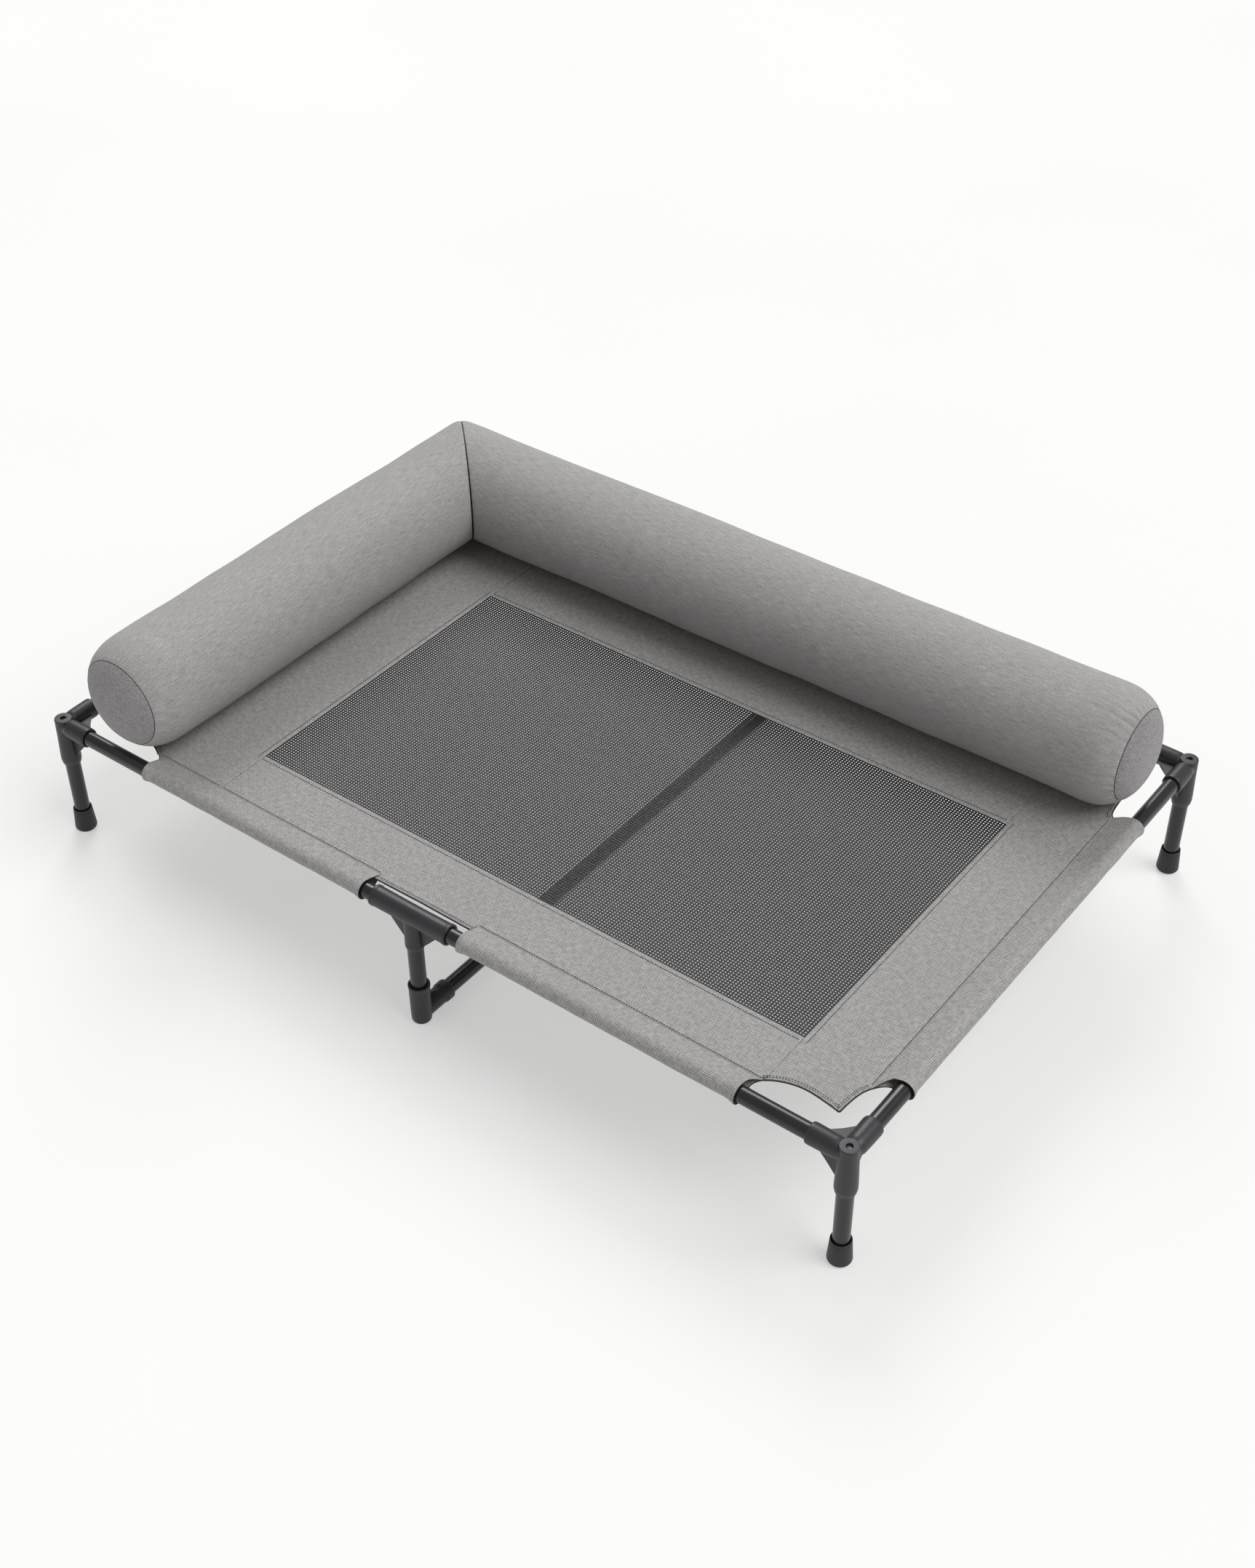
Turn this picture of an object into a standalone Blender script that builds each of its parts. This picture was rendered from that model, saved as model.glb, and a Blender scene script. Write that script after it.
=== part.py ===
"""Raised dog bed: a push-fit tube frame, a sewn mat slung between its rails, and a lift-off L-shaped bolster.

Metres, +Z up, floor at Z = 0, origin midway between the four corner posts. The long rails run along X.
The open front is at -Y. The bolster lies along the -X end and the +Y side.
"""

import math

import bmesh
import bpy
from mathutils import Matrix, Vector

for item in list(bpy.data.objects):
    bpy.data.objects.remove(item, do_unlink=True)

# General
GAP = 0.0003
SIDES = 20
SMALL_SIDES = 12
FAR = 0.01

# Frame
SPAN_X = 1.500
SPAN_Y = 0.988
RAIL_Z = 0.216
TUBE_R = 0.0125
TUBE_WALL = 0.0012
BORE_R = TUBE_R + GAP
CHAMFER = 0.0010
WEB = 0.0030

# Corner connector, in its own frame: post on Z, arms along +X and +Y
POST_TOP = 0.2305
POST_TOP_R = 0.0142
POST_FLARE_Z = 0.178
SOCKET_R = 0.0166
SOCKET_END = 0.141
ARM_ROOT_R = 0.0141
ARM_MOUTH_R = 0.0163
ARM_END = 0.060
ARM_BORE_START = 0.018
CORNER_WEB = 0.046
WEB_FOOT_Z = 0.172
LEG_TUBE_TOP = 0.1990
SCREW_POCKET_R = 0.0046
SCREW_POCKET_DEPTH = 0.0050
SCREW_HEAD_R = 0.0040
SCREW_HEAD = 0.0026
SCREW_SHANK_R = 0.0020
SCREW_TIP_Z = 0.181
SCREW_HEX_R = 0.0019
SCREW_HEX_DEPTH = 0.0014
PLUG_LENGTH = 0.024

# Feet and middle legs
FOOT_HEIGHT = 0.044
FOOT_TOP_R = 0.0150
FOOT_BASE_R = 0.0180
FOOT_PAD = 0.006
TEE_HALF = 0.073
TEE_R = 0.0165
TEE_MID_R = 0.0158
TEE_STEM_R = 0.0152
TEE_STEM_END = 0.153
TEE_WEB = 0.052
TEE_WEB_Z = 0.163
TEE_STOP = 0.004
MID_LEG_TOP = 0.190
ELBOW_R = 0.0164
ELBOW_HEIGHT = 0.076
BRACE_Z = 0.0185
BRANCH_R = 0.0156
BRANCH_END = 0.060
BRANCH_BORE_START = 0.0170
ELBOW_WEB = 0.036

# Mat
FABRIC = 0.0012
MAT_Z = 0.2212
STITCH = 0.034
FRONT_SLEEVES = ((-0.551, -0.092), (0.096, 0.579))
SIDE_SLEEVE = (-0.358, 0.309)
TAB = 0.0460
TONGUE = 0.0195
SCALLOP_X_SAG = 0.0145
SCALLOP_Y_SAG = 0.006
MESH_X = (-0.427, 0.594)
MESH_Y = (-0.362, 0.193)
ARC_STEPS = 8

# Bolster
BOLSTER_SIDES = 32
BOLSTER_R = 0.0965
BOLSTER_X = -0.604
BOLSTER_Y = 0.344
LEFT_END = -0.422
BACK_END = 0.660
DOME = 0.087
DOME_POWER = 2.5
SEAM_AT = 0.72
SHOULDER_STEPS = 3
CAP_STEPS = 3
STRIP = 0.0013
STRIP_HALF = 0.020
STRIP_MARGIN = 0.040
STRIP_STEPS = 6
MITRE_GAP = GAP * math.sqrt(2)

MAT_TOP = MAT_Z + FABRIC / 2
BOLSTER_Z = MAT_TOP + 3 * GAP + 2 * STRIP + BOLSTER_R


def material(name, colour, roughness, metallic=0.0):
    """A Principled material of one colour."""
    made = bpy.data.materials.new(name)
    made.use_nodes = True
    shader = made.node_tree.nodes["Principled BSDF"]
    shader.inputs["Base Color"].default_value = (*colour, 1.0)
    shader.inputs["Roughness"].default_value = roughness
    shader.inputs["Metallic"].default_value = metallic
    return made


TUBE_PAINT = material("tube_paint", (0.022, 0.022, 0.024), 0.36, 0.2)
MOULDED = material("moulded_plastic", (0.040, 0.039, 0.042), 0.46)
RUBBER = material("foot_rubber", (0.018, 0.018, 0.019), 0.70)
STEEL = material("screw_steel", (0.16, 0.16, 0.17), 0.40, 1.0)
TEXTILE = material("woven_textile", (0.32, 0.31, 0.305), 0.85)
NET = material("open_mesh", (0.030, 0.030, 0.032), 0.80)
COVER = material("bolster_fabric", (0.32, 0.315, 0.318), 0.92)
FOAM = material("foam", (0.70, 0.66, 0.55), 0.95)
HOOK = material("hook_strip", (0.10, 0.10, 0.10), 0.90)


def bridge(mesh, first, second):
    """Faces between two rings of one mesh; a ring of one vertex is a pole."""
    count = max(len(first), len(second))
    for i in range(count):
        j = (i + 1) % count
        a, b = (first[k % len(first)] for k in (i, j))
        c, d = (second[k % len(second)] for k in (j, i))
        mesh.faces.new(list(dict.fromkeys((a, b, c, d))))


def loft(rings, hollow=False):
    """A solid skinned over rings of points: joined end to start when hollow, otherwise capped."""
    mesh = bmesh.new()
    loops = [[mesh.verts.new(point) for point in ring] for ring in rings]
    for first, second in zip(loops, loops[1:]):
        bridge(mesh, first, second)
    if hollow:
        bridge(mesh, loops[-1], loops[0])
    else:
        for end in (loops[0], loops[-1]):
            if len(end) > 1:
                mesh.faces.new(end)
    bmesh.ops.recalc_face_normals(mesh, faces=mesh.faces)
    return mesh


def circle(radius, height, sides=SIDES):
    """Points of a circle about Z; a radius of 0 gives a single point."""
    if radius == 0:
        return [Vector((0, 0, height))]
    angles = [math.tau * (i + 0.5) / sides for i in range(sides)]
    return [Vector((radius * math.cos(a), radius * math.sin(a), height)) for a in angles]


def turned(profile, sides=SIDES):
    """A profile of (radius, height) points turned about Z. One that never meets the axis makes a ring."""
    hollow = profile[0][0] > 0 and profile[-1][0] > 0
    return loft([circle(radius, height, sides) for radius, height in profile], hollow)


def plate(outline, low, high):
    """A flat plate from an XY outline, between two heights."""
    return loft([[Vector((x, y, z)) for x, y in outline] for z in (low, high)])


def moved(mesh, matrix):
    """The mesh moved, and turned face out again if the matrix mirrors it."""
    bmesh.ops.transform(mesh, matrix=matrix, verts=mesh.verts)
    if matrix.determinant() < 0:
        bmesh.ops.reverse_faces(mesh, faces=mesh.faces)
    return mesh


Z_TO_X = Matrix.Rotation(math.radians(90), 4, "Y")
Z_TO_Y = Matrix.Rotation(math.radians(-90), 4, "X")
Y_TO_Z = Matrix.Rotation(math.radians(90), 4, "X")
X_TO_Y = Matrix.Rotation(math.radians(90), 4, "Z")
LIFT_TO_RAIL = Matrix.Translation((0, 0, RAIL_Z))


def mesh_data(name, mesh):
    data = bpy.data.meshes.new(name)
    mesh.to_mesh(data)
    mesh.free()
    data.shade_smooth()
    data.set_sharp_from_angle(angle=math.radians(35))
    return data


def combined(name, base, joined=(), cut=(), solver="EXACT"):
    """Mesh data of base with some meshes united with it and others cut from it."""
    body = bpy.data.objects.new(name, mesh_data(name, base))
    bpy.context.scene.collection.objects.link(body)
    helpers = []
    for operation, meshes in (("UNION", joined), ("DIFFERENCE", cut)):
        for mesh in meshes:
            helper = bpy.data.objects.new(name + "_helper", mesh_data(name + "_helper", mesh))
            bpy.context.scene.collection.objects.link(helper)
            helpers.append(helper)
            modifier = body.modifiers.new(operation, "BOOLEAN")
            modifier.operation = operation
            modifier.object = helper
            modifier.solver = solver
    bpy.context.view_layer.update()
    evaluated = body.evaluated_get(bpy.context.evaluated_depsgraph_get())
    data = bpy.data.meshes.new_from_object(evaluated)
    data.name = name
    for helper in [body, *helpers]:
        bpy.data.objects.remove(helper, do_unlink=True)
    data.shade_smooth()
    data.set_sharp_from_angle(angle=math.radians(35))
    return data


def add(name, data, look, location=(0, 0, 0), turn=0.0, parent=None):
    """An object at a place, turned about Z, in one material."""
    obj = bpy.data.objects.new(name, data)
    obj.location = location
    obj.rotation_euler = (0, 0, turn)
    data.materials.clear()
    data.materials.append(look)
    bpy.context.scene.collection.objects.link(obj)
    if parent is not None:
        obj.parent = parent
        obj.matrix_parent_inverse = Matrix.Translation(-parent.location)
    return obj


def pipe(length):
    """A hollow tube along Z from 0 to length, open at both ends."""
    inner = TUBE_R - TUBE_WALL
    return turned([(TUBE_R, 0), (TUBE_R, length), (inner, length), (inner, 0)])


def socket(root_r, mouth_r, length, start=0.0):
    """A solid arm along Z whose mouth edge is chamfered."""
    mouth = [(mouth_r, length - CHAMFER), (mouth_r - CHAMFER, length), (0, length)]
    return turned([(0, start), (root_r, start), *mouth])


def bore(start, end, radius=BORE_R):
    return turned([(0, start), (radius, start), (radius, end), (0, end)])


# Corner connectors, screws, plugs, legs and rubber feet

def upright_web(points):
    """A thin web in the XZ plane from (x, z) points."""
    return moved(plate(points, -WEB / 2, WEB / 2), Y_TO_Z)


def corner_connector_data():
    post = turned([
        (0, POST_TOP),
        (POST_TOP_R - CHAMFER, POST_TOP),
        (POST_TOP_R, POST_TOP - CHAMFER),
        (SOCKET_R, POST_FLARE_Z),
        (SOCKET_R, SOCKET_END + 3 * CHAMFER),
        (SOCKET_R - 2 * CHAMFER, SOCKET_END),
        (0, SOCKET_END),
    ])
    to_x = LIFT_TO_RAIL @ Z_TO_X
    to_y = LIFT_TO_RAIL @ Z_TO_Y
    arms = [moved(socket(ARM_ROOT_R, ARM_MOUTH_R, ARM_END, -CHAMFER), to) for to in (to_x, to_y)]
    web_top = RAIL_Z - CHAMFER / 2
    flat_web = plate([(0, 0), (CORNER_WEB, 0), (0, CORNER_WEB)], web_top - WEB, web_top)
    below = [(0, RAIL_Z), (CORNER_WEB, RAIL_Z - ARM_ROOT_R / 2), (SOCKET_R / 2, WEB_FOOT_Z)]
    webs = [upright_web(below), moved(upright_web(below), X_TO_Y)]
    cuts = [moved(bore(ARM_BORE_START, ARM_END + FAR), to) for to in (to_x, to_y)]
    cuts.append(bore(SOCKET_END - FAR, LEG_TUBE_TOP + GAP))
    cuts.append(turned([
        (0, LEG_TUBE_TOP - GAP),
        (SCREW_SHANK_R + GAP, LEG_TUBE_TOP - GAP),
        (SCREW_SHANK_R + GAP, POST_TOP - SCREW_POCKET_DEPTH),
        (SCREW_POCKET_R, POST_TOP - SCREW_POCKET_DEPTH),
        (SCREW_POCKET_R, POST_TOP + FAR),
        (0, POST_TOP + FAR),
    ]))
    # The two equal arms share edges where they meet, which the EXACT solver leaves open.
    return combined("corner_connector", post, [*arms, flat_web, *webs], cuts, solver="MANIFOLD")


def screw_data():
    under_head = POST_TOP - SCREW_POCKET_DEPTH + GAP
    head_top = under_head + SCREW_HEAD
    body = turned([
        (0, SCREW_TIP_Z),
        (SCREW_SHANK_R - CHAMFER, SCREW_TIP_Z),
        (SCREW_SHANK_R, SCREW_TIP_Z + CHAMFER),
        (SCREW_SHANK_R, under_head),
        (SCREW_HEAD_R, under_head),
        (SCREW_HEAD_R, head_top - CHAMFER),
        (SCREW_HEAD_R - CHAMFER, head_top),
        (0, head_top),
    ], SMALL_SIDES)
    low = head_top - SCREW_HEX_DEPTH
    drive = turned([(0, low), (SCREW_HEX_R, low), (SCREW_HEX_R, head_top + FAR), (0, head_top + FAR)], 6)
    return combined("screw", body, cut=[drive])


def plug_data():
    outer = TUBE_R - TUBE_WALL - GAP
    inner = SCREW_SHANK_R + GAP
    low = LEG_TUBE_TOP - PLUG_LENGTH
    profile = [(outer, low), (outer, LEG_TUBE_TOP), (inner, LEG_TUBE_TOP), (inner, low)]
    return mesh_data("plug", turned(profile, SMALL_SIDES))


def foot_data():
    return mesh_data("foot", turned([
        (0, 0),
        (FOOT_BASE_R - CHAMFER, 0),
        (FOOT_BASE_R, CHAMFER),
        (FOOT_TOP_R, FOOT_HEIGHT - CHAMFER),
        (FOOT_TOP_R - CHAMFER, FOOT_HEIGHT),
        (BORE_R, FOOT_HEIGHT),
        (BORE_R, FOOT_PAD),
        (0, FOOT_PAD),
    ]))


CORNERS = {
    "front_left": (-1, -1, 0),
    "front_right": (1, -1, 90),
    "back_right": (1, 1, 180),
    "back_left": (-1, 1, 270),
}
for corner, (side_x, side_y, turn) in CORNERS.items():
    place = (side_x * SPAN_X / 2, side_y * SPAN_Y / 2, 0)
    angle = math.radians(turn)
    leg_start = FOOT_PAD + GAP
    leg = moved(pipe(LEG_TUBE_TOP - leg_start), Matrix.Translation((0, 0, leg_start)))
    add(f"{corner}_connector", corner_connector_data(), MOULDED, place, angle)
    add(f"{corner}_screw", screw_data(), STEEL, place, angle)
    add(f"{corner}_leg_plug", plug_data(), MOULDED, place, angle)
    add(f"{corner}_leg", mesh_data("leg", leg), TUBE_PAINT, place, angle)
    add(f"{corner}_foot", foot_data(), RUBBER, place, angle)


# Middle tees, legs, elbow feet and the floor brace, for the front and, turned half round, for the back

def tee_data():
    sleeve = moved(turned([
        (0, -TEE_HALF),
        (TEE_R - CHAMFER, -TEE_HALF),
        (TEE_R, CHAMFER - TEE_HALF),
        (TEE_MID_R, 0),
        (TEE_R, TEE_HALF - CHAMFER),
        (TEE_R - CHAMFER, TEE_HALF),
        (0, TEE_HALF),
    ]), LIFT_TO_RAIL @ Z_TO_X)
    stem = turned([
        (0, RAIL_Z),
        (TEE_STEM_R - CHAMFER, RAIL_Z),
        (TEE_STEM_R, TEE_STEM_END + CHAMFER),
        (TEE_STEM_R - CHAMFER, TEE_STEM_END),
        (0, TEE_STEM_END),
    ])
    web = upright_web([
        (-TEE_WEB, RAIL_Z - TEE_R / 2),
        (0, RAIL_Z),
        (TEE_WEB, RAIL_Z - TEE_R / 2),
        (TEE_STEM_R / 2, TEE_WEB_Z),
        (-TEE_STEM_R / 2, TEE_WEB_Z),
    ])
    along_x = LIFT_TO_RAIL @ Z_TO_X
    cuts = [
        moved(bore(TEE_STOP, TEE_HALF + FAR), along_x),
        moved(bore(-TEE_HALF - FAR, -TEE_STOP), along_x),
        bore(TEE_STEM_END - FAR, MID_LEG_TOP + GAP),
    ]
    # The web's flat sides run along facet edges of the stem, which the EXACT solver leaves open.
    return combined("tee", sleeve, [stem, web], cuts, solver="MANIFOLD")


def elbow_data():
    cup = turned([
        (0, 0),
        (ELBOW_R - 2 * CHAMFER, 0),
        (ELBOW_R, 2 * CHAMFER),
        (ELBOW_R, ELBOW_HEIGHT - CHAMFER),
        (ELBOW_R - CHAMFER, ELBOW_HEIGHT),
        (0, ELBOW_HEIGHT),
    ])
    to_y = Matrix.Translation((0, 0, BRACE_Z)) @ Z_TO_Y
    branch = moved(socket(BRANCH_R, BRANCH_R, BRANCH_END), to_y)
    gusset = upright_web([(0, BRACE_Z), (ELBOW_WEB, BRACE_Z + BRANCH_R / 2), (0, BRACE_Z + 2 * BRANCH_R)])
    gusset = moved(gusset, X_TO_Y)
    cuts = [bore(FOOT_PAD, ELBOW_HEIGHT + FAR), moved(bore(BRANCH_BORE_START, BRANCH_END + FAR), to_y)]
    return combined("elbow", cup, [branch, gusset], cuts)


for side, side_y, turn in (("front", -1, 0), ("back", 1, 180)):
    place = (0, side_y * SPAN_Y / 2, 0)
    angle = math.radians(turn)
    leg_start = FOOT_PAD + GAP
    leg = moved(pipe(MID_LEG_TOP - leg_start), Matrix.Translation((0, 0, leg_start)))
    add(f"{side}_middle_tee", tee_data(), MOULDED, place, angle)
    add(f"{side}_middle_leg", mesh_data("middle_leg", leg), TUBE_PAINT, place, angle)
    add(f"{side}_middle_foot", elbow_data(), MOULDED, place, angle)

brace_half = SPAN_Y / 2 - BRANCH_BORE_START - GAP
brace = moved(pipe(2 * brace_half), Matrix.Translation((0, -brace_half, BRACE_Z)) @ Z_TO_Y)
add("floor_brace", mesh_data("floor_brace", brace), TUBE_PAINT)


# Rails

def half_rail(side_x, side_y):
    """A long rail's half, from the corner arm's bore to the tee's stop."""
    inner = TEE_STOP + GAP
    outer = SPAN_X / 2 - ARM_BORE_START - GAP
    start = inner if side_x > 0 else -outer
    tube = moved(pipe(outer - inner), LIFT_TO_RAIL @ Z_TO_X)
    return mesh_data("rail", moved(tube, Matrix.Translation((start, side_y * SPAN_Y / 2, 0))))


def end_rail(side_x):
    half = SPAN_Y / 2 - ARM_BORE_START - GAP
    tube = moved(pipe(2 * half), LIFT_TO_RAIL @ Z_TO_Y)
    return mesh_data("rail", moved(tube, Matrix.Translation((side_x * SPAN_X / 2, -half, 0))))


add("front_left_rail", half_rail(-1, -1), TUBE_PAINT)
add("front_right_rail", half_rail(1, -1), TUBE_PAINT)
add("back_left_rail", half_rail(-1, 1), TUBE_PAINT)
add("back_right_rail", half_rail(1, 1), TUBE_PAINT)
add("left_end_rail", end_rail(-1), TUBE_PAINT)
add("right_end_rail", end_rail(1), TUBE_PAINT)


# Mat: sleeves round the rails, four border panels and the open mesh in the middle

def teardrop(radius, tip):
    """Outline of a sleeve round a tube at the origin, drawn to a point at tip, as (across, up) points."""
    reach = math.hypot(*tip)
    heading = math.atan2(tip[1], tip[0])
    flank = math.acos(radius / reach)
    sweep = math.tau - 2 * flank
    steps = SIDES * 3 // 4
    angles = [heading + flank + sweep * i / steps for i in range(steps + 1)]
    return [tip] + [(radius * math.cos(a), radius * math.sin(a)) for a in angles]


def sleeve(length):
    """A fabric sleeve along Z from 0 to length. Its point reaches towards +X, and +Y is up."""
    tip = (STITCH - GAP, MAT_Z - RAIL_Z)
    skin = BORE_R + FABRIC
    inner_tip = tuple(v * BORE_R / skin for v in tip)
    outer, inner = teardrop(skin, tip), teardrop(BORE_R, inner_tip)
    rings = [(outer, 0), (outer, length), (inner, length), (inner, 0)]
    return loft([[Vector((x, y, z)) for x, y in outline] for outline, z in rings], hollow=True)


def placed_sleeve(place, along, inward, length):
    """The sleeve at a rail point, running along one axis with its point turned inward."""
    frame = Matrix((inward, (0, 0, 1), along)).transposed().to_4x4()
    return mesh_data("sleeve", moved(sleeve(length), Matrix.Translation(place) @ frame))


for side, side_y in (("front", -1), ("back", 1)):
    for half, (start, end) in zip(("left", "right"), FRONT_SLEEVES):
        place = (start, side_y * SPAN_Y / 2, RAIL_Z)
        add(f"{side}_{half}_sleeve", placed_sleeve(place, (1, 0, 0), (0, -side_y, 0), end - start), TEXTILE)
for side, side_x in (("left", -1), ("right", 1)):
    start, end = SIDE_SLEEVE
    place = (side_x * SPAN_X / 2, start, RAIL_Z)
    add(f"{side}_end_sleeve", placed_sleeve(place, (0, 1, 0), (-side_x, 0, 0), end - start), TEXTILE)


def arc(start, end, sag, towards):
    """Points from start to end, bowed by sag towards a point."""
    start, end, towards = Vector(start), Vector(end), Vector(towards)
    chord = end - start
    normal = Vector((-chord.y, chord.x)).normalized()
    if normal.dot(towards - start) < 0:
        normal = -normal
    steps = [i / ARC_STEPS for i in range(ARC_STEPS + 1)]
    return [tuple(start + chord * t + normal * (4 * sag * t * (1 - t))) for t in steps]


def end_panel(side_x, inner_x, sleeve_x):
    """An end panel as deep as the mat, with a tab and two shallow scallops at each outer corner."""
    stitch_x, stitch_y = side_x * (SPAN_X / 2 - STITCH), SPAN_Y / 2 - STITCH
    tab_x, tab_y = side_x * (SPAN_X / 2 - TAB), SPAN_Y / 2 - TAB
    outline = [(inner_x, -stitch_y)]
    outline += arc((sleeve_x, -stitch_y), (tab_x, -tab_y), SCALLOP_X_SAG, (0, 0))
    outline += arc((tab_x, -tab_y), (stitch_x, SIDE_SLEEVE[0]), SCALLOP_Y_SAG, (0, 0))[1:]
    outline += arc((stitch_x, SIDE_SLEEVE[1]), (tab_x, tab_y), SCALLOP_Y_SAG, (0, 0))
    outline += arc((tab_x, tab_y), (sleeve_x, stitch_y), SCALLOP_X_SAG, (0, 0))[1:]
    outline += [(inner_x, stitch_y)]
    return mat_piece(outline)


def mat_piece(outline):
    return mesh_data("mat_piece", plate(outline, MAT_Z - FABRIC / 2, MAT_Z + FABRIC / 2))


def rectangle(x_range, y_range):
    (x0, x1), (y0, y1) = x_range, y_range
    return [(x0 + GAP, y0), (x1 - GAP, y0), (x1 - GAP, y1), (x0 + GAP, y1)]


def long_panel(side_y, inner_y):
    """A panel along a long rail, with a tongue between its two sleeves that reaches almost to the tee."""
    edge_y, hem_y = side_y * (SPAN_Y / 2 - STITCH), side_y * (SPAN_Y / 2 - TONGUE)
    x0, x1 = MESH_X[0] + GAP, MESH_X[1] - GAP
    left, right = FRONT_SLEEVES[0][1] + 2 * GAP, FRONT_SLEEVES[1][0] - 2 * GAP
    outline = [(x0, inner_y), (x0, edge_y), (left, edge_y), (left, hem_y)]
    outline += [(right, hem_y), (right, edge_y), (x1, edge_y), (x1, inner_y)]
    return mat_piece(outline)


add("left_mat_panel", end_panel(-1, MESH_X[0], FRONT_SLEEVES[0][0]), TEXTILE)
add("right_mat_panel", end_panel(1, MESH_X[1], FRONT_SLEEVES[1][1]), TEXTILE)
add("front_mat_panel", long_panel(-1, MESH_Y[0] - GAP), TEXTILE)
add("back_mat_panel", long_panel(1, MESH_Y[1] + GAP), TEXTILE)
add("centre_mesh", mat_piece(rectangle(MESH_X, MESH_Y)), NET)


# Bolster: two arms mitred at the corner, each a foam core in a sewn cover with an end cap

bolster_root = bpy.data.objects.new("bolster_lift", None)
bolster_root.location = (BOLSTER_X, BOLSTER_Y, MAT_TOP)
bpy.context.scene.collection.objects.link(bolster_root)

TO_BACK_ARM = Matrix.Translation((BOLSTER_X, BOLSTER_Y, BOLSTER_Z))
TO_LEFT_ARM = TO_BACK_ARM @ Matrix.Rotation(math.radians(-90), 4, "Z") @ Matrix.Scale(-1, 4, (0, 1, 0))


def arm_ring(radius, along):
    """Points round an arm that runs along +X; along gives each point's X from its (across, up)."""
    points = [(p.x, p.y) for p in circle(radius, 0, BOLSTER_SIDES)]
    return [Vector((along(across), across, up)) for across, up in points]


def mitre(across):
    """The mitre plane, on an arm's own side of the joint; +Y is the outer side of the corner."""
    return MITRE_GAP / 2 - across


def flat_end(at):
    """A square end at one distance along an arm."""
    return lambda across: at


def dome_ring(radius, depth, base, share):
    """A ring of the rounded end, at a share of its depth; it narrows as a superellipse and ends in a pole."""
    at = base + depth * share
    if share >= 1:
        return [Vector((at, 0, 0))]
    return arm_ring(radius * (1 - share ** DOME_POWER) ** (1 / DOME_POWER), flat_end(at))


def shares(start, end, steps):
    return [start + (end - start) * i / steps for i in range(steps + 1)]


def arm_cover(length):
    """The cover's tube, open at the mitre and, past its rounded shoulder, at the end cap's seam."""
    skins = []
    for inset in (0, FABRIC):
        radius, depth = BOLSTER_R - inset, DOME - inset
        shoulder = [dome_ring(radius, depth, length - GAP, s) for s in shares(0, SEAM_AT, SHOULDER_STEPS)]
        skins.append([arm_ring(radius, mitre)] + shoulder)
    outer, inner = skins
    return loft(outer + inner[::-1], hollow=True)


def arm_cap(length):
    """The end cap's shallow dome, from the seam to the pole."""
    skins = []
    for inset in (0, FABRIC):
        radius, depth = BOLSTER_R - inset, DOME - inset
        skins.append([dome_ring(radius, depth, length, s) for s in shares(SEAM_AT, 1, CAP_STEPS)])
    outer, inner = skins
    return loft(outer[::-1] + inner)


def arm_core(length):
    inset = FABRIC + GAP
    radius, depth = BOLSTER_R - inset, DOME - inset
    along = shares(0, SEAM_AT, SHOULDER_STEPS) + shares(SEAM_AT, 1, CAP_STEPS)[1:]
    return loft([arm_ring(radius, mitre)] + [dome_ring(radius, depth, length - GAP, s) for s in along])


def strip_under_arm(length):
    """The loop strip sewn under an arm: flat below, and curved above to fit the cover."""
    top_r = BOLSTER_R + GAP
    base = -BOLSTER_R - GAP - STRIP
    across = [STRIP_HALF * (1 - 2 * i / STRIP_STEPS) for i in range(STRIP_STEPS + 1)]
    outline = [(-STRIP_HALF, base), (STRIP_HALF, base)]
    outline += [(y, -math.sqrt(top_r * top_r - y * y)) for y in across]
    start, end = BOLSTER_R + STRIP_MARGIN, length - STRIP_MARGIN
    return loft([[Vector((x, y, z)) for y, z in outline] for x in (start, end)])


def strip_on_mat(place, size):
    (x0, x1), (y0, y1) = place, size
    low = MAT_TOP + GAP
    return mesh_data("hook_strip", plate([(x0, y0), (x1, y0), (x1, y1), (x0, y1)], low, low + STRIP))


for arm, to_arm, length in (
    ("left", TO_LEFT_ARM, BOLSTER_Y - LEFT_END),
    ("back", TO_BACK_ARM, BACK_END - BOLSTER_X),
):
    pieces = {
        "cover": (arm_cover(length), COVER),
        "end_cap": (arm_cap(length), COVER),
        "core": (arm_core(length), FOAM),
        "loop_strip": (strip_under_arm(length), HOOK),
    }
    for piece, (mesh, look) in pieces.items():
        add(f"{arm}_bolster_{piece}", mesh_data(piece, moved(mesh, to_arm)), look, parent=bolster_root)

strip_inner_x = BOLSTER_X + BOLSTER_R + STRIP_MARGIN
strip_inner_y = BOLSTER_Y - BOLSTER_R - STRIP_MARGIN
left_strip = strip_on_mat(
    (BOLSTER_X - STRIP_HALF, BOLSTER_X + STRIP_HALF), (LEFT_END + STRIP_MARGIN, strip_inner_y)
)
back_strip = strip_on_mat(
    (strip_inner_x, BACK_END - STRIP_MARGIN), (BOLSTER_Y - STRIP_HALF, BOLSTER_Y + STRIP_HALF)
)
add("left_hook_strip", left_strip, HOOK)
add("back_hook_strip", back_strip, HOOK)
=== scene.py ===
"""Looks of the raised dog bed: refined meshes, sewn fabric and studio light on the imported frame.

Metres, +Z up, floor at Z = 0. Dimensions repeat those of the CAD source.
"""

from math import acos, atan2, cos, hypot, pi, radians, sin, sqrt, tau

import bmesh
import bpy
import numpy as np
from mathutils import Matrix, Vector
from mathutils.geometry import delaunay_2d_cdt


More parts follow.
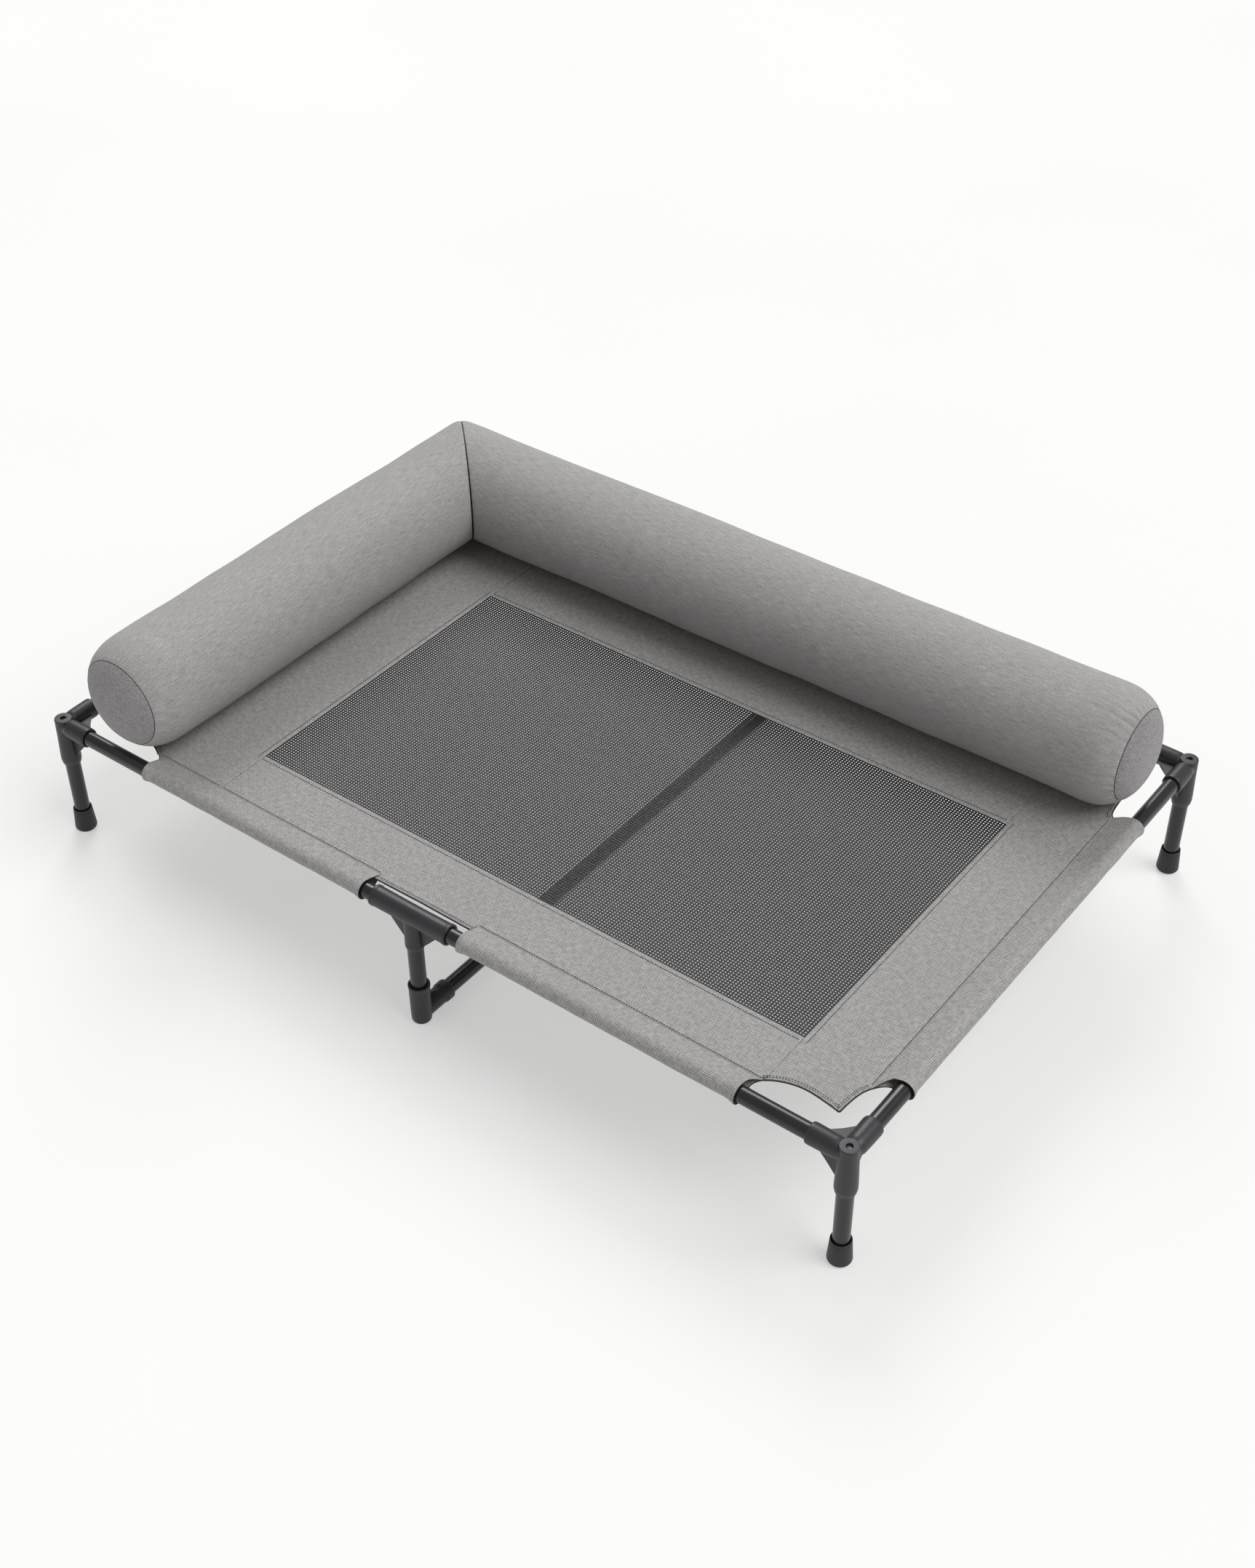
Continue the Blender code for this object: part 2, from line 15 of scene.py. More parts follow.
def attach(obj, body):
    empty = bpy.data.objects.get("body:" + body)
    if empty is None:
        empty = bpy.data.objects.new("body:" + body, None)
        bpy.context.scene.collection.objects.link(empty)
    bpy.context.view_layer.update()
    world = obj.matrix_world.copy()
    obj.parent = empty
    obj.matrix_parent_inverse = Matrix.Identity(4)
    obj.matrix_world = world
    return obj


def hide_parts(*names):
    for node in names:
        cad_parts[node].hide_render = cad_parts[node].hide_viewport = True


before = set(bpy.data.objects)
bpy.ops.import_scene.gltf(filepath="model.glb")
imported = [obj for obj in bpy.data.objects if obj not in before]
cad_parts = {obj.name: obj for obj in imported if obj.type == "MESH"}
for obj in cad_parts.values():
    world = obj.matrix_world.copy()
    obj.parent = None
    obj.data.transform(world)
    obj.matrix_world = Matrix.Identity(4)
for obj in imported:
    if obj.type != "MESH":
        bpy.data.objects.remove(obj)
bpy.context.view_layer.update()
scene = bpy.context.scene

FRAME = "frame_and_mat"
BOLSTER = "bolster"

# Dimensions shared with the CAD source
GAP = 0.0003
SPAN_X, SPAN_Y, RAIL_Z = 1.5, 0.988, 0.216
TUBE_R, TUBE_WALL = 0.0125, 0.0012
BORE_R = 0.0129
WEB = 0.003
POST_TOP, SOCKET_END, LEG_TUBE_TOP = 0.2305, 0.141, 0.199
ARM_END, ARM_BORE_START = 0.06, 0.018
FOOT_HEIGHT, FOOT_PAD = 0.044, 0.006
TEE_HALF, TEE_STOP, TEE_STEM_END, MID_LEG_TOP = 0.073, 0.004, 0.153, 0.19
ELBOW_HEIGHT, BRACE_Z, BRANCH_END, BRANCH_BORE_START = 0.076, 0.0185, 0.06, 0.017
FABRIC, MAT_Z, STITCH = 0.0012, 0.2212, 0.034
LONG_SLEEVES = ((-0.551, -0.092), (0.096, 0.579))
SIDE_SLEEVE = (-0.358, 0.309)
HEM_Y = 0.4745
MESH_X, MESH_Y = (-0.427, 0.594), (-0.362, 0.193)
BOLSTER_R, BOLSTER_X, BOLSTER_Y = 0.0965, -0.604, 0.344
LEFT_END, BACK_END = -0.422, 0.66
DOME, DOME_POWER, SEAM_AT = 0.087, 2.5, 0.72
STRIP, STRIP_HALF, STRIP_MARGIN = 0.0013, 0.02, 0.04
MAT_TOP = MAT_Z + FABRIC / 2
BOLSTER_Z = MAT_TOP + 3 * GAP + 2 * STRIP + BOLSTER_R
EDGE_X, EDGE_Y = SPAN_X / 2 - STITCH, SPAN_Y / 2 - STITCH

# Dimensions of the finish
SIDES = 64
FLARE = 0.0009
SCREW_BORE, SCREW_DEEP = 0.0023, 0.005
WEAVE_PITCH, MESH_PITCH = 0.0029, 0.005
RIB_PITCH = (0.0024, 0.0016)
HEM_ROWS = (0.0042, 0.007)
SEAM_ROW, MESH_ROW = 0.0026, 0.008


# Node materials

class Look:
    """A Principled material with short calls for the nodes that feed it."""

    def __init__(self, name, roughness=0.5, **uniform):
        self.material = bpy.data.materials.new(name)
        self.material.use_nodes = True
        self.tree = self.material.node_tree
        self.shader = self.tree.nodes["Principled BSDF"]
        self.shader.inputs["Roughness"].default_value = roughness
        for socket, value in uniform.items():
            self.shader.inputs[socket.replace("_", " ")].default_value = value

    def put(self, socket, value):
        if isinstance(value, bpy.types.NodeSocket):
            self.tree.links.new(value, socket)
        else:
            socket.default_value = value

    def node(self, kind, inputs, **settings):
        made = self.tree.nodes.new("ShaderNode" + kind)
        for name, value in settings.items():
            setattr(made, name, value)
        for key, value in inputs.items():
            self.put(made.inputs[key], value)
        return made

    def place(self):
        return self.node("TexCoord", {}).outputs["Object"]

    def cloth(self):
        return self.node("UVMap", {}, uv_map="weave").outputs["UV"]

    def stretch(self, vector, scale):
        return self.node("Mapping", {"Vector": vector, "Scale": scale}).outputs["Vector"]

    def math(self, operation, *values):
        return self.node("Math", dict(enumerate(values)), operation=operation).outputs[0]

    def weighed(self, *parts):
        """The sum of values times weights."""
        total = 0.0
        for value, weight in parts:
            total = self.math("MULTIPLY_ADD", value, weight, total)
        return total

    def noise(self, vector, scale, detail=2.0, roughness=0.5):
        inputs = {"Vector": vector, "Scale": scale, "Detail": detail, "Roughness": roughness}
        return self.node("TexNoise", inputs).outputs["Fac"]

    def span(self, value, low, high, to_low=0.0, to_high=1.0):
        inputs = {"Value": value, "From Min": low, "From Max": high, "To Min": to_low, "To Max": to_high}
        return self.node("MapRange", inputs, interpolation_type="SMOOTHSTEP").outputs["Result"]

    def blend(self, factor, first, second):
        inputs = {0: factor, 6: colour(first), 7: colour(second)}
        return self.node("Mix", inputs, data_type="RGBA").outputs[2]

    def bump(self, height, distance, strength):
        inputs = {"Height": height, "Distance": distance, "Strength": strength}
        return self.node("Bump", inputs).outputs["Normal"]

    def done(self, base, roughness=None, normal=None):
        self.put(self.shader.inputs["Base Color"], colour(base))
        if roughness is not None:
            self.put(self.shader.inputs["Roughness"], roughness)
        if normal is not None:
            self.put(self.shader.inputs["Normal"], normal)
        return self.material


def colour(value):
    return (*value, 1.0) if isinstance(value, tuple) else value


def painted(name, dark, light, rough, grain, depth, **uniform):
    """A coating or moulding with a fine grain, a little uneven in tone and gloss."""
    look = Look(name, **uniform)
    place = look.place()
    base = look.blend(look.span(look.noise(place, 14.0, 3.0), 0.3, 0.7), dark, light)
    gloss = look.span(look.noise(place, 40.0), 0.25, 0.75, rough - 0.015, rough + 0.015)
    return look.done(base, gloss, look.bump(look.noise(place, grain, 2.0, 0.6), depth, 0.6))


def crossed(look, vector, pitch, lift):
    """Height of a plain weave, 0 in its holes, from a vector and pitches in metres."""
    across = look.stretch(vector, (1 / pitch[0], 1 / pitch[1], 1.0))
    threads = look.node("SeparateXYZ", {"Vector": across}).outputs
    first = look.math("COSINE", look.math("MULTIPLY", threads["X"], pi))
    second = look.math("COSINE", look.math("MULTIPLY", threads["Y"], pi))
    turn = look.math("MULTIPLY", look.math("MULTIPLY", first, second), lift)
    warp = look.math("MULTIPLY", look.math("ABSOLUTE", first), look.math("ADD", 1.0, turn))
    weft = look.math("MULTIPLY", look.math("ABSOLUTE", second), look.math("SUBTRACT", 1.0, turn))
    return look.math("MAXIMUM", warp, weft)


def woven():
    """Coated yarn in an open plain weave: pale threads round near-black holes, painted shade seen through
    them.
    """
    look = Look("woven_textile", Sheen_Weight=0.06, Specular_IOR_Level=0.3)
    cloth = look.cloth()
    height = crossed(look, cloth, (WEAVE_PITCH, WEAVE_PITCH), 0.22)
    slub = look.noise(look.stretch(cloth, (85.0, 345.0, 1.0)), 1.0)
    cross_slub = look.noise(look.stretch(cloth, (345.0, 85.0, 1.0)), 1.0)
    tone = look.weighed((slub, 0.5), (cross_slub, 0.5))
    thread = look.blend(look.span(tone, 0.36, 0.64), (0.288, 0.277, 0.27), (0.424, 0.41, 0.401))
    cloud = look.noise(look.place(), 7.0, 3.0)
    thread = look.blend(look.span(cloud, 0.3, 0.7, 0.0, 0.16), thread, (0.27, 0.258, 0.252))
    # Painted shade: the holes and the threads' flanks towards them blend to near-black.
    base = look.blend(look.span(height, 0.38, 0.8), (0.04, 0.038, 0.037), thread)
    return look.done(base, look.span(height, 0.3, 1.0, 0.88, 0.6), look.bump(height, 0.0006, 0.8))


def heather(name, flat_shaded_end=False):
    """A fine ribbed weave with lengthwise streaks and specks of light and dark yarn; a flat end gets darker
    yarn colours as painted shade.
    """
    look = Look(name, Sheen_Weight=0.15, Sheen_Roughness=0.6, Specular_IOR_Level=0.15)
    place = look.place()
    if flat_shaded_end:
        ground, along, across, detail = place, (90.0, 90.0, 640.0), (520.0, 520.0, 120.0), 3.0
        rib = look.noise(look.stretch(place, (500.0, 500.0, 700.0)), 1.0, 1.0)
        weights = (0.22, 0.22, 0.56)
        # Painted shade: the end caps' yarn colours are darker than the arms', for the shade on the caps.
        dark, light = (0.155, 0.147, 0.149), (0.372, 0.361, 0.358)
    else:
        ground, along, across, detail = look.cloth(), (48.0, 700.0, 1.0), (600.0, 150.0, 1.0), 2.0
        rib = crossed(look, ground, RIB_PITCH, 0.5)
        weights = (0.29, 0.15, 0.56)
        dark, light = (0.197, 0.187, 0.188), (0.49, 0.475, 0.468)
    streak = look.noise(look.stretch(ground, along), 1.0, 3.0, 0.6)
    cross = look.noise(look.stretch(ground, across), 1.0, detail, 0.6)
    speck = look.noise(ground, 1350.0, 1.0)
    mixed = look.weighed(*zip((streak, cross, speck), weights))
    thread = look.blend(look.span(mixed, 0.4, 0.6), dark, light)
    mottle = look.noise(place, 30.0, 3.0, 0.55)
    thread = look.blend(look.span(mottle, 0.35, 0.7, 0.0, 0.1), thread, (0.25, 0.243, 0.248))
    # Painted shade: the low parts of the rib blend towards a colour darker than either yarn.
    base = look.blend(look.span(rib, 0.1, 0.8, 0.55, 1.0), (0.12, 0.116, 0.118), thread)
    return look.done(base, 0.9, look.bump(look.weighed((rib, 0.6), (mixed, 1.4)), 0.0006, 0.8))


def piled():
    """The hooked face of a fastening strip."""
    look = Look("hook_strip", Specular_IOR_Level=0.3)
    tufts = look.node("TexVoronoi", {"Vector": look.place(), "Scale": 850.0}).outputs["Distance"]
    base = look.blend(look.span(tufts, 0.1, 0.6), (0.1, 0.1, 0.1), (0.035, 0.035, 0.036))
    return look.done(base, 0.85, look.bump(look.math("SUBTRACT", 1.0, tufts), 0.0006, 0.8))


def twisted(name, dark, light, rough):
    """A thin yarn, uneven along its length."""
    look = Look(name, Specular_IOR_Level=0.4)
    place = look.place()
    fine = look.noise(place, 2200.0)
    base = look.blend(look.span(fine, 0.3, 0.7), dark, light)
    gloss = look.span(look.noise(place, 200.0), 0.3, 0.7, rough - 0.06, rough + 0.06)
    return look.done(base, gloss, look.bump(fine, 0.00015, 0.5))


PAINT = painted("tube_paint", (0.0072, 0.0064, 0.0077), (0.0122, 0.0109, 0.0128), 0.26, 2600.0, 0.000002)
MOULDED = painted("moulded_plastic", (0.013, 0.0112, 0.0138), (0.0207, 0.0176, 0.0218), 0.42, 1800.0, 0.00003)
RUBBER = painted("foot_rubber", (0.006, 0.006, 0.0075), (0.01, 0.01, 0.0122), 0.5, 1700.0, 0.00008)
STEEL = painted("screw_steel", (0.1, 0.1, 0.105), (0.15, 0.15, 0.155), 0.42, 3000.0, 0.00003, Metallic=1.0)
TEXTILE = woven()
NET = twisted("open_mesh", (0.006, 0.006, 0.007), (0.012, 0.012, 0.013), 0.55)
# Thread material, for the stitches and for the painted shade of the bolster's seams.
THREAD_AND_SEAM_SHADE = twisted("sewing_thread_and_seam_shade", (0.018, 0.018, 0.018), (0.04, 0.039, 0.038), 0.62)
# Dark edge strands: a binding on the mat's hems, and painted shade at free cloth edges.
HEM_TAPE_AND_EDGE_SHADE = twisted("edge_binding", (0.02, 0.02, 0.021), (0.04, 0.039, 0.04), 0.7)
HEATHER = heather("bolster_fabric")
# The end caps' fabric is the arms' fabric with darker yarn colours as painted shade.
SHADED_CAP_HEATHER = heather("bolster_cap_fabric_painted_shade", flat_shaded_end=True)
HOOK = piled()


# Points and faces

def unit(vectors):
    return vectors / np.maximum(np.linalg.norm(vectors, axis=-1, keepdims=True), 1e-9)


def turned(degrees, axis):
    return Matrix.Rotation(radians(degrees), 4, axis)


def moved(points, matrix):
    matrix = np.array(matrix)
    return points @ matrix[:3, :3].T + matrix[:3, 3]


def lengths(curve):
    """How far along a polyline each of its points is."""
    return np.concatenate([[0], np.cumsum(np.linalg.norm(np.diff(curve, axis=0), axis=1))])


def sampled(curve, step):
    """A polyline resampled at nearly even steps."""
    curve = np.asarray(curve, float)
    along = lengths(curve)
    at = np.linspace(0, along[-1], max(2, int(round(along[-1] / step)) + 1))
    return np.stack([np.interp(at, along, values) for values in curve.T], axis=1)


def smooth(curve, rounds=3):
    """A polyline with its corners cut, ends kept."""
    for _ in range(rounds):
        a, b = curve[:-1], curve[1:]
        mixed = np.stack([a * 0.75 + b * 0.25, a * 0.25 + b * 0.75], axis=1).reshape(-1, curve.shape[1])
        curve = np.concatenate([curve[:1], mixed, curve[-1:]])
    return curve


def wander(points, scale, seed):
    """Smooth repeatable values from about -1 to 1 over an array of points."""
    source = np.random.default_rng(seed)
    total = np.zeros(len(points))
    for _ in range(7):
        wave = source.normal(size=points.shape[1])
        wave *= scale * source.uniform(0.5, 1.6) / np.linalg.norm(wave)
        total += np.sin(points @ wave + source.uniform(0, tau))
    return total / 2.6


def away_from(points, curve):
    """Each XY point's distance to a polyline."""
    best = np.full(len(points), np.inf)
    for a, b in zip(curve, curve[1:]):
        d = b - a
        t = np.clip(((points - a) @ d) / max(float(d @ d), 1e-12), 0, 1)
        best = np.minimum(best, np.linalg.norm(points - a - t[:, None] * d, axis=1))
    return best


def within(points, outline):
    """True for the XY points inside a closed outline."""
    inside = np.zeros(len(points), bool)
    x, y = points.T
    for (x0, y0), (x1, y1) in zip(outline, np.roll(outline, -1, axis=0)):
        if y0 != y1:
            crosses = (y0 > y) != (y1 > y)
            inside ^= crosses & (x < x0 + (y - y0) * (x1 - x0) / (y1 - y0))
    return inside


def hoops(centres, side, ahead, radius, sides):
    """Rings of points round centres, from their side directions and square to those ahead."""
    angle = tau * np.arange(sides)[:, None] / sides
    up = np.cross(side, ahead)
    ring = side[..., None, :] * np.cos(angle) + up[..., None, :] * np.sin(angle)
    return (centres[:, None] + np.reshape(radius, (-1, 1, 1)) * ring).reshape(-1, 3)


def numbered(first, rows, across):
    return np.arange(first, first + rows * across).reshape(rows, across)


def cells(grid):
    """The four corners of each cell of a grid, in order round it."""
    return np.stack([grid[:-1, :-1], grid[1:, :-1], grid[1:, 1:], grid[:-1, 1:]], axis=2)


def bands(rows):
    """Faces between neighbouring rings of point numbers."""
    rows = np.asarray(rows)
    return cells(np.column_stack([rows, rows[:, 0]])).reshape(-1, 4).tolist()


def capped(rows):
    """The faces of a closed tube through rings of point numbers."""
    return [*bands(rows), list(rows[0]), list(rows[-1])[::-1]]


# Meshes and pieces

def polished(data, angle):
    data.shade_smooth()
    data.set_sharp_from_angle(angle=radians(angle))
    return data


def mesh_of(name, points, faces, uvs=None):
    """Mesh data from arrays; uvs holds one (u, v) in metres for each face corner."""
    data = bpy.data.meshes.new(name)
    data.from_pydata(points, [], faces)
    if uvs is not None:
        data.uv_layers.new(name="weave").data.foreach_set("uv", np.asarray(uvs, np.float32).ravel())
    data.update()
    return data


def facing_out(data, matrix=Matrix()):
    """Closed mesh data moved by the matrix, with every face turned outwards."""
    data.transform(matrix)
    mesh = bmesh.new()
    mesh.from_mesh(data)
    bmesh.ops.recalc_face_normals(mesh, faces=mesh.faces)
    mesh.to_mesh(data)
    mesh.free()
    return data


def positions(data):
    flat = np.empty(len(data.vertices) * 3)
    data.vertices.foreach_get("co", flat)
    return flat.reshape(-1, 3)


def reshape(data, points):
    data.vertices.foreach_set("co", points.ravel())
    data.update()


def linked(name, data):
    obj = bpy.data.objects.new(name, data)
    scene.collection.objects.link(obj)
    return obj


def evaluated(obj):
    """The mesh of an object after its modifiers, in place of the object."""
    bpy.context.view_layer.update()
    data = bpy.data.meshes.new_from_object(obj.evaluated_get(bpy.context.evaluated_depsgraph_get()))
    bpy.data.objects.remove(obj)
    return data


def shown(name, data, look, body=FRAME, stands_for=()):
    """A visible piece that rides on a body and may stand for CAD nodes."""
    data.materials.clear()
    data.materials.append(look)
    obj = linked(name, data)
    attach(obj, body)
    if stands_for:
        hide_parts(*stands_for)
    return obj


def lathe(profile, matrix=Matrix(), sides=SIDES):
    """A profile of (radius, height) points turned about Z, capped where it meets the axis."""
    angle = tau * (np.arange(sides) + 0.5) / sides
    points, rows = [], []
    for radius, height in profile:
        turns = angle if radius else angle[:1]
        rows.append(np.arange(sides) % len(turns) + len(points))
        points += [(radius * cos(a), radius * sin(a), height) for a in turns]
    if profile[0][0] > 0:
        rows.append(rows[0])
    corners = [list(dict.fromkeys(face)) for face in bands(rows)]
    return facing_out(mesh_of("turned", points, [face for face in corners if len(face) > 2]), matrix)


def slab(outline, low, high, matrix=Matrix()):
    """A flat plate from an XY outline."""
    points = [(x, y, z) for z in (low, high) for x, y in outline]
    return facing_out(mesh_of("slab", points, capped(numbered(0, 2, len(outline)))), matrix)


def eased(profile, radius, steps=4):
    """The profile with each inner corner rounded, as far as its neighbours leave room."""
    points = [Vector(p) for p in profile]
    out = [points[0]]
    for before, here, after in zip(points, points[1:], points[2:]):
        back, ahead = before - here, after - here
        reach = min(radius, back.length * 0.45, ahead.length * 0.45)
        start, end = here + back.normalized() * reach, here + ahead.normalized() * reach
        for i in range(steps + 1):
            t = i / steps
            out.append(start * (1 - t) ** 2 + here * (2 * t * (1 - t)) + end * t * t)
    out.append(points[-1])
    return [(max(0.0, p.x), p.y) for p in out]


def moulding(name, solids, cuts):
    """Solids united, then bored out."""
    body, *tools = [linked(name, data) for data in (*solids, *cuts)]
    for i, tool in enumerate(tools, 1):
        step = body.modifiers.new("step", "BOOLEAN")
        step.operation = "UNION" if i < len(solids) else "DIFFERENCE"
        step.solver = "MANIFOLD"
        step.object = tool
    data = evaluated(body)
    for tool in tools:
        bpy.data.objects.remove(tool)
    return polished(data, 22)


# Tube frame

Z_TO_X, Z_TO_Y = turned(90, "Y"), turned(-90, "X")
Y_TO_Z, X_TO_Y = turned(90, "X"), turned(90, "Z")
TO_RAIL = Matrix.Translation((0, 0, RAIL_Z))


def tube(node, start, length, turn=Matrix()):
    """A thin-walled tube with eased ends, in place of a CAD tube."""
    inner, ease = TUBE_R - TUBE_WALL, 0.0003
    profile = [(TUBE_R - ease, 0), (TUBE_R, ease), (TUBE_R, length - ease), (TUBE_R - ease, length)]
    profile += [(inner, length), (inner, 0)]
    data = polished(lathe(profile, Matrix.Translation(start) @ turn), 40)
    shown(node + "_tube", data, PAINT, stands_for=[node])


def web(points, matrix=Matrix()):
    """An upright web in the XZ plane from (x, z) points."""
    return slab(points, -WEB / 2, WEB / 2, matrix @ Y_TO_Z)


def bore(start, mouth, matrix=Matrix()):
    """A cutter along Z that flares at the mouth above it."""
    wide, past = BORE_R + FLARE, mouth + 0.01
    profile = [(0, start), (BORE_R, start), (BORE_R, mouth - FLARE), (wide, mouth + 0.0002)]
    return lathe([*profile, (wide, past), (0, past)], matrix)


def lower_bore(mouth, end):
    """A cutter that opens downwards at its mouth."""
    return bore(-end, -mouth, Matrix.Scale(-1, 4, (0, 0, 1)))


def corner_shape():
    post = eased([
        (0, POST_TOP), (0.0141, POST_TOP), (0.0144, POST_TOP - 0.003), (0.015, 0.196), (0.0158, 0.176),
        (0.0163, 0.16), (0.0165, SOCKET_END + 0.0095), (0.015, SOCKET_END + 0.0015), (0.0139, SOCKET_END),
        (0, SOCKET_END),
    ], 0.0022, 6)
    arm = eased([
        (0, -0.001), (0.0138, -0.001), (0.014, 0.011), (0.0156, 0.0175), (0.016, 0.03),
        (0.0164, ARM_END - 0.004), (0.0158, ARM_END), (0, ARM_END),
    ], 0.0022, 6)
    below = [(0, RAIL_Z), (0.05, RAIL_Z - 0.015), (0.0415, 0.1905), (0.029, 0.1765)]
    below += [(0.0155, 0.1595), (0.01, 0.156)]
    between = [(0, 0), (0.05, 0), (0.048, 0.013), (0.03, 0.0285), (0.013, 0.048), (0, 0.05)]
    solids = [lathe(post)]
    cuts = [lower_bore(SOCKET_END, LEG_TUBE_TOP + GAP)]
    for turn in (Z_TO_X, Z_TO_Y):
        solids.append(lathe(arm, TO_RAIL @ turn))
        cuts.append(bore(ARM_BORE_START, ARM_END, TO_RAIL @ turn))
    solids += [slab(between, RAIL_Z - WEB / 2, RAIL_Z + WEB / 2), web(below), web(below, X_TO_Y)]
    pit = ((SCREW_BORE, -SCREW_DEEP), (0.0046, -SCREW_DEEP), (0.0046, -0.0008), (0.0056, 0.0002))
    hole = [(0, LEG_TUBE_TOP - GAP), (SCREW_BORE, LEG_TUBE_TOP - GAP), *((r, POST_TOP + h) for r, h in pit)]
    cuts.append(lathe([*hole, (0.0056, POST_TOP + 0.01), (0, POST_TOP + 0.01)]))
    return moulding("corner_shape", solids, cuts)


def screw_shape():
    """A button-head screw with a hexagon recess."""
    head, recess = POST_TOP - SCREW_DEEP + GAP, 0.0018
    data = lathe([
        (0, 0.181), (0.0015, 0.181), (0.002, 0.182), (0.002, head), (0.004, head), (0.004, head + 0.001),
        (0.0036, head + 0.0019), (0.0029, head + 0.0024), (0.0021, head + 0.0026), (recess, head + 0.0012),
        (0, head + 0.0011),
    ], sides=36)
    for vert in data.vertices:
        if abs(hypot(vert.co.x, vert.co.y) - recess) < 1e-5 and vert.co.z > head:
            angle = atan2(vert.co.y, vert.co.x) % (pi / 3) - pi / 6
            vert.co.xy *= cos(pi / 6) / cos(angle)
    return polished(data, 30)


def foot_shape():
    """A tapered rubber foot: a beaded lip, a rounded heel and a shallow hollow below."""
    top = FOOT_HEIGHT
    profile = eased([
        (0, 0.0012), (0.0105, 0.0012), (0.0115, 0.0), (0.0152, 0.0), (0.0182, 0.0042), (0.0158, top - 0.005),
        (0.0152, top - 0.0042), (0.0155, top - 0.003), (0.0155, top - 0.0008), (0.0146, top),
        (0.0134, top - 0.0008), (BORE_R, top - 0.003), (BORE_R, FOOT_PAD), (0, FOOT_PAD),
    ], 0.0016)
    return polished(lathe(profile), 60)


def plug_shape():
    inner, outer = SCREW_BORE, TUBE_R - TUBE_WALL - GAP
    low, top = LEG_TUBE_TOP - 0.024, LEG_TUBE_TOP
    profile = [(inner, low), (outer - 0.0006, low), (outer, low + 0.0006), (outer, top), (inner, top)]
    return polished(lathe(profile, sides=40), 40)


def tee_shape():
    half = [(0, 0), (0.016, 0), (0.0168, 0.001), (0.0169, 0.005), (0.0162, 0.007), (0.0158, TEE_HALF - 0.02)]
    half = [(r, h - TEE_HALF) for r, h in half]
    sleeve = eased(half + [(r, -h) for r, h in reversed(half)], 0.0012)
    end, web_z = TEE_STEM_END, RAIL_Z - 0.01
    stem = [(0, RAIL_Z), (0.0143, RAIL_Z), (0.0148, end + 0.014), (0.0151, end + 0.006)]
    stem += [(0.0138, end), (0, end)]
    gusset = [(-0.056, web_z), (0, RAIL_Z), (0.056, web_z), (0.0135, 0.1575), (-0.0135, 0.1575)]
    cuts = [lower_bore(TEE_STEM_END, MID_LEG_TOP + GAP)]
    for angle in (0, 180):
        cuts.append(bore(TEE_STOP, TEE_HALF, TO_RAIL @ turned(angle, "Z") @ Z_TO_X))
    solids = [lathe(sleeve, TO_RAIL @ Z_TO_X), lathe(eased(stem, 0.0018)), web(gusset)]
    return moulding("tee_shape", solids, cuts)


def elbow_shape():
    top, end = ELBOW_HEIGHT, BRANCH_END
    cup = [
        (0, 0), (0.0112, 0), (0.0156, 0.0046), (0.016, 0.02), (0.0162, top - 0.01), (0.0163, top - 0.0058),
        (0.0169, top - 0.005), (0.017, top - 0.0008), (0.0163, top), (0, top),
    ]
    branch = [(0, 0), (0.015, 0), (0.0151, end - 0.018)]
    branch += [(0.0166, end - 0.015), (0.0168, end - 0.0008), (0, end)]
    rises = ((0, 0), (0.038, 0.012), (0.024, 0.023), (0.015, 0.036), (0, 0.036))
    gusset = [(y, BRACE_Z + z) for y, z in rises]
    to_y = Matrix.Translation((0, 0, BRACE_Z)) @ Z_TO_Y
    solids = [lathe(eased(cup, 0.004, 6)), lathe(eased(branch, 0.0018), to_y), web(gusset, X_TO_Y)]
    return moulding("elbow_shape", solids, [bore(FOOT_PAD, top), bore(BRANCH_BORE_START, end, to_y)])


def fitted(node, data, spot, angle, look=MOULDED):
    """A copy of mesh data turned about Z and moved to a spot, in place of a CAD node."""
    data = data.copy()
    data.transform(Matrix.Translation(spot) @ turned(angle, "Z"))
    shown(node + "_piece", data, look, stands_for=[node])


corner, screw, foot, plug = corner_shape(), screw_shape(), foot_shape(), plug_shape()
leg_start = FOOT_PAD + GAP
for name, side_x, side_y, angle in (
    ("front_left", -1, -1, 0), ("front_right", 1, -1, 90),
    ("back_right", 1, 1, 180), ("back_left", -1, 1, 270),
):
    spot = (side_x * SPAN_X / 2, side_y * SPAN_Y / 2, 0)
    fitted(name + "_connector", corner, spot, angle)
    fitted(name + "_screw", screw, spot, angle, STEEL)
    fitted(name + "_foot", foot, spot, angle, RUBBER)
    fitted(name + "_leg_plug", plug, spot, angle)
    tube(name + "_leg", (*spot[:2], leg_start), LEG_TUBE_TOP - leg_start)

tee, elbow = tee_shape(), elbow_shape()
for side, side_y, angle in (("front", -1, 0), ("back", 1, 180)):
    spot = (0, side_y * SPAN_Y / 2, 0)
    fitted(side + "_middle_tee", tee, spot, angle)
    fitted(side + "_middle_foot", elbow, spot, angle)
    tube(side + "_middle_leg", (*spot[:2], leg_start), MID_LEG_TOP - leg_start)
    near, far = TEE_STOP + GAP, SPAN_X / 2 - ARM_BORE_START - GAP
    for half, start in (("left", -far), ("right", near)):
        tube(f"{side}_{half}_rail", (start, spot[1], RAIL_Z), far - near, Z_TO_X)
rail_half = SPAN_Y / 2 - ARM_BORE_START - GAP
for side, side_x in (("left", -1), ("right", 1)):
    tube(side + "_end_rail", (side_x * SPAN_X / 2, -rail_half, RAIL_Z), 2 * rail_half, Z_TO_Y)
brace_half = SPAN_Y / 2 - BRANCH_BORE_START - GAP
tube("floor_brace", (0, -brace_half, BRACE_Z), 2 * brace_half, Z_TO_Y)


# Mat

OUTLINE_STEP, FINE = 0.003, 0.0045


